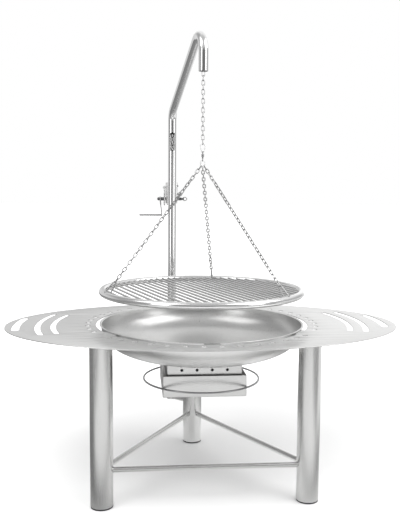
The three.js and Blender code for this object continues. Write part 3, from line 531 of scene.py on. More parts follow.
# Each brace: name, the leg it starts from and the leg it goes to
BRACES = (
    ("front", "front_left", "front_right"),
    ("left", "back", "front_left"),
    ("right", "front_right", "back"),
)


def arc_slot(radius, width, reach, bearing):
    """A slot along an arc with a half circle at each end."""
    outer = arc(radius + width / 2, bearing - reach, bearing + reach, 40)
    inner = arc(radius - width / 2, bearing + reach, bearing - reach, 40)
    caps = [
        arc(width / 2, end + turn, end + turn + 180, 14, polar(radius, end)[:2])[1:-1]
        for end, turn in ((bearing + reach, 0), (bearing - reach, 180))
    ]
    return np.concatenate([outer, caps[0], inner, caps[1]])


def seat_outline():
    """The bowl's round seat, a circle broken by straight-sided tabs that reach in under the lip."""
    points = []
    for (bearing, width), (following, next_width) in zip(SEAT_TABS, SEAT_TABS[1:] + SEAT_TABS[:1]):
        half = width / 2
        side = math.sqrt(SEAT_RADIUS**2 - half**2)
        along, across = polar(1, bearing)[:2], polar(1, bearing + 90)[:2]
        for out, over in ((side, -half), (TAB_REACH, -half), (TAB_REACH, half), (side, half)):
            points.append((along * out + across * over)[None])
        start = bearing + math.degrees(math.asin(half / SEAT_RADIUS))
        end = following - math.degrees(math.asin(next_width / 2 / SEAT_RADIUS))
        if following < bearing:
            end += 360
        points.append(arc(SEAT_RADIUS, start, end, 64)[1:-1])
    return np.concatenate(points)


def vent_outlines():
    """Round holes on a circle round the seat, none where a leg stands."""
    spacing = 360 / VENT_COUNT
    outlines = []
    for bearing in 90 + np.arange(VENT_COUNT) * spacing:
        if all(abs((bearing - leg + 180) % 360 - 180) > spacing / 2 for leg in LEGS.values()):
            outlines.append(circle(VENT_RADIUS, 28) + polar(VENT_CIRCLE, bearing)[:2])
    return outlines


def table_mesh():
    """The oval sheet, its middle plus its reaches times the cosine and the sine of an angle, with its seat,
    slots and vents."""
    oval = circle(1, 320) * TABLE_REACH + TABLE_MIDDLE
    slots = [arc_slot(*slot, side) for side in (0.0, 180.0) for slot in END_SLOTS]
    return plate("table", [oval, seat_outline(), *slots, *vent_outlines()], TABLE_UNDER, TABLE_TOP, 0.3)


def brace_between(start, end):
    """A tube between two legs, its ends just inside their walls, and a weld bead round each end."""
    a, b = polar(LEG_CIRCLE, LEGS[start], BRACE_HEIGHT), polar(LEG_CIRCLE, LEGS[end], BRACE_HEIGHT)
    along = (b - a) / np.linalg.norm(b - a)
    inset = along * (LEG_RADIUS - 1)
    tube = swept(line(a + inset, b - inset, 12), circle(BRACE_RADIUS, 32))
    rim = circle(BRACE_RADIUS, 40)
    beads = [weld_bead(rim, at, way, LEG_RADIUS, 1.6, 0.12) for at, way in ((a, along), (b, -along))]
    return joined([tube, *beads])


def make_stand():
    """The table, the legs with their caps and foot plugs, and the braces."""
    add("table", table_mesh(), ground_sheet, "stand", ["table_top"])
    for name, bearing in LEGS.items():
        at = polar(LEG_CIRCLE, bearing)
        tube = [[40, 5.3], [41.4, 5.3], [42, 5.9], [42, 629.8], [41.4, 630.4], [40, 630.4]]
        add("leg_tube_" + name, turned(tube, 128, at), ground_tube, "stand", ["leg_" + name])
        cap = [[0, 630.7], [41.2, 630.7], [42, 631.5], [42, 634.9], [41.2, 635.7], [0, 635.7]]
        add("leg_top_" + name, turned(cap, 128, at), ground_tube, "stand", ["leg_cap_" + name])
        foot = [[0, 0], [40.4, 0], [41.4, 0.8], [41.4, 4.4], [40.8, 5]]
        plug = [[39.7, 5], [39.7, 24], [39, 25], [0, 25]]
        foot_shape = turned(foot + plug, 96, at)
        add("foot_plug_" + name, foot_shape, foot_plastic, "stand", ["foot_" + name])
    for name, start, end in BRACES:
        add("brace_tube_" + name, brace_between(start, end), ground_tube, "stand", ["brace_" + name])


# The fire bowl, its air collar and the ash drawer

BOWL_RADIUS, BOWL_DEPTH, BOWL_SHEET, LIP_UNDER = 392.0, 136.0, 2.5, 640.3
# The lip from the wall's outside over to its inside: [out, up] from the bowl's radius and the lip's foot
LIP_EDGE = [[6.2, 0], [6.8, 0.5], [7.0, 1.2], [6.8, 1.9], [6.2, 2.4], [5.4, 2.5]]
LIP_TOP = [[1.6, 2.4], [-0.6, 1.9], [-1.9, 0.8]]
ASH_HOLE_CIRCLE, ASH_HOLE_RADIUS = 62, 8
COLLAR_HALF, COLLAR_FOOT, COLLAR_TOP, COLLAR_SHEET = 142.0, 446.0, 590, 2
AIR_HOLE_RADIUS, AIR_HOLE_SPACING, AIR_HOLE_HEIGHT = 5.6, 57.5, 484
TRAY_HALF, TRAY_FLOOR, TRAY_TOP = 158.0, 384.0, 465.0
TRAY_RING_HEIGHT, TRAY_RING_WIRE = 420.0, 3.5


def bowl_curve(inset=0.0):
    """The wall from the lip to the middle. The radius is multiplied by the cube root of one less the drop's
    share to the power 2.5."""
    w = np.sin(np.linspace(0, 1, 46) * TURN / 4)
    out = np.maximum(1 - w**2.5, 0) ** (1 / 3)
    return np.stack([(BOWL_RADIUS - inset) * out, LIP_UNDER - (BOWL_DEPTH - inset) * w], axis=-1)


def bowl_shape():
    """The wall's outside up to the lip, the rounded lip, and the inside back down."""
    lip = np.array(LIP_EDGE + LIP_TOP) + [BOWL_RADIUS, LIP_UNDER]
    return turned(np.concatenate([bowl_curve()[::-1], lip, bowl_curve(BOWL_SHEET)]), 192)


def collar_shape():
    """Four folded walls, to be cut above to the bowl's outside."""
    outside = [[COLLAR_HALF, COLLAR_FOOT, 4], [COLLAR_HALF, COLLAR_TOP, 4]]
    half = COLLAR_HALF - COLLAR_SHEET
    inside = [[half, COLLAR_TOP, 2], [half, COLLAR_FOOT, 2]]
    return boxed(outside + inside)


def tray_shape():
    """A folded tray: floor, round lower edge, wall, and the inside back down."""
    h, z, t = TRAY_HALF, TRAY_FLOOR, TRAY_TOP
    under = [[0, z, 0], [h - 4, z, 2], [h - 2, z + 0.5, 3], [h - 0.6, z + 1.8, 4], [h, z + 4, 4]]
    edge = [[h, t - 0.4, 4], [h - 0.4, t, 3.6], [h - 1.6, t, 2.4], [h - 2, t - 0.4, 2]]
    inside = [[h - 2, z + 5, 2], [h - 3, z + 3, 1.5], [h - 5, z + 2, 1], [0, z + 2, 0]]
    return boxed(under + edge + inside)


def drawer_ring_shape():
    """A ring of wire round the tray's corners, with a spot of weld at each."""
    corner = TRAY_HALF * math.sqrt(2)
    ring = circle(corner + 0.3 + TRAY_RING_WIRE, 160)
    wire = swept(spread(ring, (0, 0, TRAY_RING_HEIGHT)), circle(TRAY_RING_WIRE, 14), closed=True)
    spots = [lump(polar(corner + 0.5, 45 + 90 * i, TRAY_RING_HEIGHT), (4.2, 4.2, 2.6)) for i in range(4)]
    return joined([wire, *spots])


def make_fire():
    """The bowl with its ash holes, the collar with its air holes, and the drawer on the collar's runners."""
    places = [np.zeros(3), *[polar(ASH_HOLE_CIRCLE, 60 * i) for i in range(6)]]
    hole = [[0, 495], [ASH_HOLE_RADIUS, 495], [ASH_HOLE_RADIUS, 515], [0, 515]]
    holes = [turned(hole, 28, at) for at in places]
    add("fire_bowl_spun", bowl_shape(), spun_bowl, "stand", ["fire_bowl"], cutters=holes)
    room = [*(bowl_curve() - [0, 0.3]), [0, LIP_UNDER + 5], [BOWL_RADIUS, LIP_UNDER + 5]]
    hole = [[0, -12], [AIR_HOLE_RADIUS, -12], [AIR_HOLE_RADIUS, 12], [0, 12]]
    places = [((i - 1.5) * AIR_HOLE_SPACING, -COLLAR_HALF, AIR_HOLE_HEIGHT) for i in range(4)]
    cutters = [turned(room, 192), *[turned(hole, 32, at, "y") for at in places]]
    add("collar_walls", collar_shape(), folded_sheet, "stand", ["air_collar"], cutters=cutters)
    for side, name in ((-1, "left"), (1, "right")):
        x = sorted((side * (COLLAR_HALF - 1), side * (COLLAR_HALF + 10)))
        rail = slab(*x, -COLLAR_HALF, COLLAR_HALF, COLLAR_FOOT, COLLAR_FOOT + 2)
        add("collar_runner_" + name, rail, folded_sheet, "stand")
        x = sorted((side * (TRAY_HALF - 11), side * (TRAY_HALF - 1)))
        lug = slab(*x, -TRAY_HALF + 2, TRAY_HALF - 2, COLLAR_FOOT + 2.3, COLLAR_FOOT + 4.3)
        add("tray_lug_" + name, lug, folded_sheet, "ash_drawer")
    gap = slab(-TRAY_HALF + 6, TRAY_HALF - 6, TRAY_HALF - 12, TRAY_HALF + 6, 440, TRAY_TOP + 12, 3)
    add("tray_box", tray_shape(), folded_sheet, "ash_drawer", ["ash_tray"], cutters=[gap])
    add("drawer_ring", drawer_ring_shape(), blued_steel, "ash_drawer", ["tray_ring"])


# The mast socket and the gallows tube

MAST = np.array([-91.5, 530.0, 0.0])
SOCKET_RADIUS = 22.5
ARM_SECTION, ARM_CORNER, ARM_HEIGHTS = 24, 3, {"lower": 191.0, "upper": 530.0}
MAST_FOOT, KINK_HEIGHT, CROWN_HEIGHT, TIP_HEIGHT = 183.3, 1508.0, 1753.0, 1609.0
KINK_RADIUS, CROWN_RADIUS = 60.0, 70.0
TUBE_RADIUS, TUBE_BORE = 19.0, 17.0
# The mast's slots, the chain's slot in front and its inlet behind: low, high, half width and side
MAST_SLOTS = ((1335, 1420, 13, -1), (1212, 1296, 10, 1))
# The chain from the drum through the inlet and up: each stretch's ends, and across its first and last link
MAST_CHAIN = (
    ([0, 39.6, 1118], [0, 30, 1219.7], (1, 0, 0), (0, 1, 0)),
    ([0, 30, 1220.3], [0, 0, 1299.7], (1, 0, 0), (1, 0, 0)),
    ([0, 0, 1300.3], [0, 0, 1448], (0, 1, 0), (0, 1, 0)),
)


def make_socket():
    """The socket tube and the two square arms that hold it on the back leg."""
    outside = [[0, 178], [21.7, 178], [22.5, 178.8], [22.5, 555.2], [21.8, 556]]
    inside = [[20.2, 556], [19.5, 555.2], [19.5, 183], [0, 183]]
    add("socket_tube", turned(outside + inside, 72, MAST), ground_tube, "stand", ["mast_socket"])
    leg = polar(LEG_CIRCLE, 90)
    along = (MAST - leg) / np.linalg.norm(MAST - leg)
    rim = rounded_section(ARM_SECTION, ARM_SECTION, ARM_CORNER, 6)
    for name, z in ARM_HEIGHTS.items():
        start, end = leg + along * (LEG_RADIUS - 3), MAST - along * (SOCKET_RADIUS - 4.5)
        path = line(start + UP * z, end + UP * z)
        arm = swept(path, rounded_section(ARM_SECTION, ARM_SECTION, ARM_CORNER), start_normal=UP)
        ends = ((leg, along, LEG_RADIUS), (MAST, -along, SOCKET_RADIUS))
        beads = [weld_bead(rim, at + UP * z, way, radius, 1.5) for at, way, radius in ends]
        add("arm_tube_" + name, joined([arm, *beads]), ground_tube, "stand", ["socket_arm_" + name])


def gallows_route():
    """Up the mast, round the kink, along the slanted arm, over the crown and down to the tip, in the
    upright plane through the mast and the bowl's axis. The arm runs straight between the two bends."""
    reach = np.hypot(MAST[0], MAST[1])
    centre_out, centre_up = reach - CROWN_RADIUS, CROWN_HEIGHT - CROWN_RADIUS
    rise = centre_up - KINK_HEIGHT
    slope = math.atan2(rise, centre_out) + math.asin(CROWN_RADIUS / math.hypot(centre_out, rise))
    slope = math.degrees(slope)
    trim = KINK_RADIUS * math.tan(math.radians((90 - slope) / 2))
    kink = arc(KINK_RADIUS, 180, 90 + slope, 25, (KINK_RADIUS, KINK_HEIGHT - trim))
    crown = arc(CROWN_RADIUS, 90 + slope, 0, 49, (centre_out, centre_up))
    mast = line([0, MAST_FOOT], kink[0], 60)[:-1]
    arm = line(kink[-1], crown[0], 12)[1:-1]
    tip = line(crown[-1], [reach, TIP_HEIGHT], 4)[1:]
    return spread(np.concatenate([mast, kink, arm, crown, tip]), MAST, -MAST / reach, UP)


def slot_cutter(low, high, half, side):
    """An upright slot with round ends, cut through one side of the mast."""
    outline = long_round(half, low + half, high - half, 15)
    return prism(outline, 2.0, 30.0, 0.01, MAST, (1, 0, 0), (0, 0, 1), (0, side, 0))


def make_gallows():
    """The bent tube with its two slots, the plug in its tip, and the winch's chain inside the mast."""
    tube = hollow(gallows_route(), TUBE_RADIUS, TUBE_BORE, 64, (1, 0, 0))
    slots = [slot_cutter(*slot) for slot in MAST_SLOTS]
    add("bent_tube", tube, polished_tube, "gallows", ["gallows_tube"], cutters=slots)
    plug = [[8.4, 1610], [15.4, 1610], [16.6, 1611.2], [16.6, 1634], [8.4, 1634], [7.8, 1633], [7.8, 1611]]
    add("tip_plug", turned(plug, 48), dark_hardware, "gallows", ["tip_guide"])
    chain = joined([chain_between(MAST + low, MAST + high, *across) for low, high, *across in MAST_CHAIN])
    add("mast_chain", chain, chain_wire, "gallows", ["winch_chain"])


# Chain

LINK_PITCH, LINK_HALF_WIDTH, LINK_WIRE = 17.0, 5.4, 1.8
EASED_LINKS = 5


def link_loop(pitch):
    """One link about its own middle: a wire along a stadium of two half circles, one pitch long inside."""
    right = spread(arc(LINK_HALF_WIDTH, -90, 90, 7, (pitch / 2 + LINK_WIRE - LINK_HALF_WIDTH, 0)))
    path = np.concatenate([right, right * [-1, -1, 1]])
    return swept(path, circle(LINK_WIRE, 8), closed=True, start_normal=UP)


def chain_between(start, end, first_across, last_across, roll=(0.0, 0.0)):
    """Links from one bearing point to another, each turned by nearly a quarter turn from the one before. The
    roll, in degrees near the start and near the end, turns the stretch between the end links as a real
    chain twists."""
    start, end = np.asarray(start, float), np.asarray(end, float)
    length = np.linalg.norm(end - start)
    along = (end - start) / length
    count = max(round(length / LINK_PITCH), 1)
    pitch = length / count
    first, last = (np.asarray(v, float) for v in (first_across, last_across))
    first, last = first - along * (along @ first), last - along * (along @ last)
    first, last = first / np.linalg.norm(first), last / np.linalg.norm(last)
    swing = math.atan2(np.cross(first, last) @ along, first @ last)
    halves = round(((count - 1) * TURN / 4 - swing) / math.pi)
    turn_each = (swing + halves * math.pi) / (count - 1) if count > 1 else 0.0
    vertices, groups = link_loop(pitch)
    number = np.arange(count)
    eased = np.clip(number / EASED_LINKS, 0, 1) * np.clip((count - 1 - number) / EASED_LINKS, 0, 1)
    turns = number * turn_each + eased * np.radians(np.linspace(*roll, count))
    across = np.cos(turns)[:, None] * first + np.sin(turns)[:, None] * np.cross(along, first)
    side = np.cross(along, across)
    centres = start + along * (number[:, None] + 0.5) * pitch
    frames = np.stack([np.broadcast_to(along, across.shape), across, side], axis=1)
    every = centres[:, None] + np.einsum("vi,nij->nvj", vertices, frames)
    faces = [np.concatenate([g + i * len(vertices) for i in range(count)]) for g in groups]
    return outward(every.reshape(-1, 3), faces)


# The winch behind the mast, its crank on the left; its turned parts have [radius, x] profiles

AXLE = MAST + [0, 62, 1118]
PAWL_PIVOT = MAST + [0, 34, 1172]
KNOB_HOLE = MAST + [0, 46, 1141]
SIDE_BOLT = MAST + [0, 38, 1178]
CHEEK_HALF, CHEEK_FRONT, CHEEK_BACK, CHEEK_SHEET, CHEEK_LOW, CHEEK_HIGH = 26, 19.3, 97.3, 4, 1098, 1194
AXLE_BORE, BOLT_BORE = 7.4, 4.3
DRUM_HALF = 21.0
WHEEL_LEFT, WHEEL_RIGHT = -36, -30
CRANK_LENGTH, CRANK_LEFT, CRANK_RIGHT = 75.0, -55.3, -50.3
CRANK_HALF_WIDTH, CRANK_OFFSET, HUB_RADIUS = 6.0, 8.0, 12.0
NUT_RADIUS, NUT_LEFT, NUT_RIGHT, DOME_RADIUS, DOME_RISE = 8.5, -61.5, -55.6, 6.9, 5.1
CLIP_MIDDLE, CLIP_ACROSS, CLIP_UP, CLIP_WIRE = 62.75, 9.75, 7.75, 1.75
GRIP_LEFT, GRIP_RIGHT = -147.65, -47.65
KNOB_RADIUS, KNOB_MIDDLE = 11, 14


def bent_sheet_outline(half, front, back, sheet, bend=7.0):
    """A sheet bent into a U: out along its outside, round two bends, and back along its inside."""
    centre = (-half + bend, front + bend)
    left = arc(bend, 180, 270, 7, centre)
    outside = np.concatenate([[[-half, back]], left, (left * [-1, 1])[::-1], [[half, back]]])
    left = arc(bend - sheet, 180, 270, 7, centre)
    inside = np.concatenate([[[half - sheet, back]], left * [-1, 1], left[::-1], [[-half + sheet, back]]])
    return np.concatenate([outside, inside])


def saw_wheel(root=27.0, tip=32.0, teeth=16, lean=0.15):
    """Saw teeth: a root point and, a small part of a tooth further, a tip point."""
    points = [circle(root, teeth), circle(tip, teeth, lean * TURN / teeth)]
    return np.stack(points, axis=1).reshape(-1, 2)


def crank_arm_shape():
    """A flat bar with round ends, sheared in from the hub's edge to its foot, and the hub's round boss."""
    outline = long_round(CRANK_HALF_WIDTH, -CRANK_LENGTH, 0, 13)
    bar, groups = along_x(outline, CRANK_LEFT, CRANK_RIGHT, 0.6, (0, 0, 0))
    share = np.clip((-bar[:, 2] - HUB_RADIUS) / (CRANK_LENGTH - HUB_RADIUS), 0, 1)
    bar[:, 0] += CRANK_OFFSET * share
    boss = pin(HUB_RADIUS, CRANK_LEFT, CRANK_RIGHT, (0, 0, 0), 0.8)
    vertices, groups = joined([outward(bar, groups), boss])
    return vertices + AXLE, groups


def drum_profile():
    """A drum with a flange at each end: its left half, then the same mirrored."""
    x = -DRUM_HALF
    left = [[7.3, x], [30.2, x], [31, x + 0.8], [31, x + 2.2], [30.2, x + 3], [20.5, x + 3], [20, x + 4]]
    return np.concatenate([left, (np.array(left) * [1, -1])[::-1]])


def make_winch():
    """The bent frame, what turns on the axle, the grip, the pawl, and the fasteners on the frame's side."""
    outline = bent_sheet_outline(CHEEK_HALF, CHEEK_FRONT, CHEEK_BACK, CHEEK_SHEET) + MAST[:2]
    cheeks = plate("bent_sheet", [outline], CHEEK_LOW, CHEEK_HIGH, 0.4)
    holes = ((AXLE_BORE, AXLE), (BOLT_BORE, PAWL_PIVOT), (BOLT_BORE, KNOB_HOLE))
    bores = [pin(radius, -40, 40, at, 0.01) for radius, at in holes]
    add("winch_cheeks", cheeks, polished_bar, "gallows", ["winch_frame"], cutters=bores)
    ends = [[0, -61], [6.2, -61], [7, -60], [7, 46.4], [6.4, 47], [5, 47.2], [5, 58.2], [4.2, 59], [0, 59]]
    add("axle_bar", turned(ends, 40, AXLE, "x"), dark_hardware, "crank", ["winch_axle"])
    add("chain_drum", turned(drum_profile(), 64, AXLE, "x"), turned_steel, "crank", ["winch_drum"])
    wheel = along_x(saw_wheel(), WHEEL_LEFT, WHEEL_RIGHT, 0.4, AXLE)
    add("saw_wheel", wheel, plated_steel, "crank", ["ratchet_wheel"], sharp=20.0)
    collar = [[7.2, -50], [7.6, -50], [8, -49.6], [8, -36.8], [7.6, -36.4], [7.2, -36.4]]
    add("hub_collar", turned(collar, 40, AXLE, "x"), dark_hardware, "crank", ["hub_spacer"])
    add("crank_bar", crank_arm_shape(), polished_bar, "crank", ["crank_arm"])
    hexagon = along_x(circle(NUT_RADIUS, 6), NUT_LEFT, NUT_RIGHT, 0.7, AXLE)
    dome = arc(1, 0, 90, 9) * [DOME_RADIUS, -DOME_RISE] + [0, NUT_LEFT]
    seat = NUT_LEFT + 0.5
    cap = turned([[0, seat], [DOME_RADIUS, seat], *dome], 36, AXLE, "x")
    add("cap_nut", joined([hexagon, cap]), dark_hardware, "crank", ["hub_nut"], sharp=30.0)
    oval = spread(circle(1, 48), AXLE + [CLIP_MIDDLE, 0, 0], (CLIP_ACROSS, 0, 0), CLIP_UP * UP)
    clip = swept(oval, circle(CLIP_WIRE, 12), closed=True)
    add("wire_clip", clip, chain_wire, "crank", ["retaining_ring"])
    foot = AXLE - [0, 0, CRANK_LENGTH]
    head = [[0, -150.2], [4.6, -150.2], [5, -149.8], [5, -148.2]]
    rod = [[3, -148], [3, -42], [2.6, -41.7], [0, -41.7]]
    add("grip_rod", turned(head + rod, 32, foot, "x"), turned_steel, "crank", ["grip_pin"])
    a, b = GRIP_LEFT, GRIP_RIGHT
    sleeve = [[3.4, a], [4.9, a], [5.5, a + 0.8], [5.5, b - 0.8], [4.9, b], [3.4, b]]
    add("turning_sleeve", turned(sleeve, 40, foot, "x"), polished_tube, "grip", ["crank_grip"])
    make_pawl()
    knob = [[0, -4], [4, -4], [4, 3.2], *arc(KNOB_RADIUS, -67.5, 90, 15, (0, KNOB_MIDDLE))]
    knob_shape = turned(knob, 48, KNOB_HOLE + [CHEEK_HALF, 0, 0], "x")
    add("round_knob", knob_shape, ground_tube, "gallows", ["side_knob"])
    head = along_x(circle(5, 6), 26.3, 30.3, 0.5, SIDE_BOLT)
    stem = pin(2.5, 22, 27, SIDE_BOLT, 0.1)
    add("hexagon_bolt", joined([head, stem]), dark_hardware, "gallows", ["side_bolt"], sharp=30.0)


def make_pawl():
    """The pawl's boss and pointed nose, and the pin it hangs on."""
    nose = polar(32.6, 139)[:2] + [28, -54]
    outline = np.concatenate([arc(8, 0, 180, 13), [[-8, -3], nose + [-4, 2], nose, [8, -3]]])
    lever = along_x(outline, -36.5, -29.5, 0.6, PAWL_PIVOT)
    add("stop_pawl", lever, plated_steel, "pawl", ["pawl"], sharp=30.0)
    stem = pin(4, -37, -22, PAWL_PIVOT, 0.2)
    head = along_x(circle(6.5, 6), -40.8, -36.8, 0.6, PAWL_PIVOT)
    add("pawl_bolt", joined([stem, head]), plated_steel, "gallows", ["pawl_pin"], sharp=30.0)


# Hook, swivel and ring

HOOK_TOP, HOOK_FOOT, HOOK_WIRE = 1336.2, 1302.2, 2.2
HEAD_RADIUS, FOOT_RADIUS = 9.0, 4.2
HANGING_CHAIN_TOP = 1694.0
EYE_RADIUS, EYE_WIRE = 4.6, 1.5
RING_RADIUS, RING_LOW, RING_HIGH, RING_WIRE = 8, 1252.8, 1264.8, 1.9
UPPER_EYE_HEIGHT, LOWER_EYE_HEIGHT, BALL_HEIGHT, BALL_RADIUS = 1301.65, 1273.65, 1281.45, 3.3


def hook_route():
    """The pear-shaped hook in the XZ plane: a wide head, a narrow foot, and the nose that runs up from it.
    Returns its head, its foot, the nose's end and the way the nose points."""
    head, foot = HOOK_TOP - HEAD_RADIUS, HOOK_FOOT + FOOT_RADIUS
    lean = math.degrees(math.asin((HEAD_RADIUS - FOOT_RADIUS) / (head - foot)))
    top = spread(arc(HEAD_RADIUS, -lean, 180 + lean, 20, (0, head)), y=UP)
    bottom = spread(arc(FOOT_RADIUS, 180 + lean, 360 - lean, 20, (0, foot)), y=UP)
    along = (top[0] - bottom[-1]) / np.linalg.norm(top[0] - bottom[-1])
    return top, bottom, bottom[-1] + along * 5.0, along


def wire_eye(z):
    """A small ring of wire in the YZ plane."""
    return swept(spread(circle(EYE_RADIUS, 40), (0, 0, z), (0, 1, 0), UP), circle(EYE_WIRE, 12), closed=True)


def make_hook():
    """The snap hook and its gate, the chain it hangs on, the swivel in two halves, and the oval ring."""
    top, bottom, nose, along = hook_route()
    side = line(top[-1], bottom[0], 4)[1:-1]
    wire = swept(np.concatenate([top, side, bottom, [nose]]), circle(HOOK_WIRE, 16), bevel=0.6)
    add("pear_hook", wire, plated_steel, "hook", ["snap_hook"])
    gate = swept(line(nose + along * 0.5, top[0] - along, 6), circle(1.7, 16), bevel=0.5)
    add("hook_gate", gate, plated_steel, "gate", ["snap_gate"])
    start, end = [0, 0, HANGING_CHAIN_TOP], [0, 0, HOOK_TOP - HOOK_WIRE - 0.2]
    chain = chain_between(start, end, (0, 1, 0), (0, 1, 0))
    ends = [tuple(placed(p)) for p in (start, end)]
    add("hanging_chain", chain, chain_wire, ("gallows", "lift", *ends), ["lift_chain"])
    barrel = [[0, 1285.05], [4.4, 1285.05], [5, 1285.6], [5, 1288], [4.6, 1288.4], [4.6, 1289], [5, 1289.4]]
    barrel = turned([*barrel, [5, 1295], [4.2, 1297], [0, 1297.6]], 36)
    barrel = joined([barrel, wire_eye(UPPER_EYE_HEIGHT)])
    add("swivel_barrel", barrel, blued_steel, "swivel", ["swivel_body"])
    ball = lump((0, 0, BALL_HEIGHT), (BALL_RADIUS, BALL_RADIUS, BALL_RADIUS), 28)
    stem = turned([[0, 1281], [2.2, 1281], [2.2, 1285.6], [0, 1285.6]], 24)
    foot = joined([ball, stem, wire_eye(LOWER_EYE_HEIGHT)])
    add("swivel_foot", foot, blued_steel, "hanging_grate", ["swivel_stem"])
    oval = spread(long_round(RING_RADIUS, RING_LOW, RING_HIGH, 20), y=UP)
    oval = swept(oval, circle(RING_WIRE, 14), closed=True)
    add("oval_ring", oval, plated_steel, "hanging_grate", ["master_ring"])


# The grate: a rim tube, parallel bars, and three wire eyes for the chains

RIM_RADIUS, RIM_TUBE, RIM_HEIGHT = 387.0, 13.4, 767.0
BAR_COUNT, BAR_SPACING, BAR_RADIUS, BAR_INSET, BAR_BEARING = 27, 27.7, 4, 4, 108
LOOP_LEAN, LOOP_HEIGHT, LOOP_FOOT, LOOP_BEND, LOOP_WIRE = math.radians(37), 64, 12, 5.2, 2.4
LOOP_CENTRE = LOOP_HEIGHT - LOOP_WIRE - LOOP_BEND
# How far a chain's end links reach past the middles of the ring's and the eye's wire
RING_GRASP, LOOP_GRASP = 2.0, 2.6
# Each chain: name, bearing of its rim eye, where it sits on the ring's bend, and its roll near both ends
CHAINS = (("left", -162, -60, (53, 17)), ("right", -42, 60, (37, 17)), ("back", 78, 0, (0, 80)))


def loop_place(up, out):
    """A place on a rim eye above the rim on the +X side, on a plane that leans in."""
    up, out = np.asarray(up, float), np.asarray(out, float)
    x = RIM_RADIUS - up * math.sin(LOOP_LEAN) + out * math.cos(LOOP_LEAN)
    z = RIM_HEIGHT + up * math.cos(LOOP_LEAN) + out * math.sin(LOOP_LEAN)
    return np.stack([x, 0 * x, z], axis=-1)


def rim_loop_shape(bearing):
    """A wire from one side of the rim up, round a small bend and down, with a weld spot at each foot."""
    flare = math.degrees(math.atan((LOOP_FOOT - LOOP_BEND) / LOOP_CENTRE))
    out, up = arc(LOOP_BEND, -flare, 180 + flare, 20, (0, LOOP_CENTRE)).T
    bend = loop_place(up, out)
    feet = loop_place([6.0, 6.0], [11.3, -11.3])
    path = np.concatenate([line(feet[0], bend[0], 5)[:-1], bend, line(bend[-1], feet[1], 5)[1:]])
    spots = [lump(p, (3.6, 4.4, 3.2)) for p in loop_place([8.5, 8.5], [11.0, -11.0])]
    vertices, groups = joined([swept(path, circle(LOOP_WIRE, 12)), *spots])
    return bearing_turn(vertices, bearing), groups


def suspension_shape(bearing, hang, roll):
    """A chain from its place on the ring's lower bend to a rim eye."""
    wire_along = np.array([math.cos(math.radians(hang)), 0, math.sin(math.radians(hang))])
    wire_at = np.array([RING_RADIUS * wire_along[2], 0, RING_LOW - RING_RADIUS * wire_along[0]])
    loop_at = bearing_turn(loop_place(LOOP_CENTRE + LOOP_BEND, 0), bearing)
    along = (loop_at - wire_at) / np.linalg.norm(loop_at - wire_at)
    start, end = wire_at - along * RING_GRASP, loop_at + along * LOOP_GRASP
    return chain_between(start, end, np.cross(wire_along, along), polar(1, bearing + 90), roll)


def make_grate():
    """The rim and its bars, and each suspension chain with its eye."""
    rim = swept(spread(circle(RIM_RADIUS, 240), (0, 0, RIM_HEIGHT)), circle(RIM_TUBE, 28), closed=True)
    off = (np.arange(BAR_COUNT) - BAR_COUNT // 2) * BAR_SPACING
    half = np.sqrt(RIM_RADIUS**2 - off**2) - BAR_INSET
    z = RIM_HEIGHT + BAR_RADIUS
    bars = [swept(line([-h, o, z], [h, o, z], 9), circle(BAR_RADIUS, 14)) for h, o in zip(half, off)]
    for name, parts, finish in (("grate_ring", [rim], polished_bar), ("grate_rods", bars, drawn_rod)):
        vertices, groups = joined(parts)
        shape = (bearing_turn(vertices, BAR_BEARING), groups)
        add(name, shape, finish, "hanging_grate", ["grate"])
    for name, bearing, hang, roll in CHAINS:
        chain = suspension_shape(bearing, hang, roll)
        add("grate_chain_" + name, chain, chain_wire, "hanging_grate", ["suspension_chain_" + name])
        loop = rim_loop_shape(bearing)
        add("rim_loop_" + name, loop, chain_wire, "hanging_grate", ["rim_eye_" + name])


# Floor, light and camera: the floor and the lamps are in metres in the model's frame

WHITE = (1, 1, 1, 1)
FLOOR_REACH, FLOOR_DROP = 60.0, 0.0005
# The middles of the painted shade, a grey the camera sees under the grill, and of the painted light, a
# bright patch that the bowl mirrors
PAINTED_SHADE_CENTRE, PAINTED_LIGHT_CENTRE = (0.18, 0.58, 0.0), (0.05, 0.12, 0.0)
FAR_LIFT = 0.6
# Each lamp: place, what it is aimed at, width and height, and power in watts
LAMPS = {
    "left_softbox": ((-5.6, -4.9, 2.15), (0, 0, 0.9), (2.6, 4.2), 90.0),
    "right_softbox": ((5.9, -4.3, 2.15), (0, 0, 0.9), (2.4, 4.2), 70.0),
    "high_left_softbox": ((-3.5, -1.7, 5.2), (0, 0, 0.6), (4.6, 3.4), 85.0),
    "high_right_softbox": ((3.9, -1.6, 4.9), (0, 0, 0.6), (5.4, 3.6), 165.0),
}
# The camera's place in mm from the bowl's axis, the way it looks, and its roll in degrees
CAMERA_PLACE, CAMERA_WAY, CAMERA_ROLL = (-252.1, -2711.6, 1150.0), (0.0893, 0.9911, -0.0985), 0.40
FOCAL_PIXELS, FRAME_HEIGHT, SENSOR = 700, 523, 36.0


def change(tree, value, low, high, from_level, to_level):
    """A smooth change from one level to another as a value goes from low to high."""
    ends = {"From Min": low, "From Max": high, "To Min": from_level, "To Max": to_level}
    return outputs_of(tree, "MapRange", {"Value": value, **ends}, interpolation_type="SMOOTHSTEP")["Result"]


def blend(tree, share, first, second):
    """A level that is first where the share is 0 and second where it is 1."""
    return outputs_of(tree, "Mix", {0: share, 2: first, 3: second})[0]


def step(tree, value, low, high, first, second):
    """A level that goes smoothly from first to second, themselves numbers or outputs, as a value rises."""
    return blend(tree, change(tree, value, low, high, 0.0, 1.0), first, second)


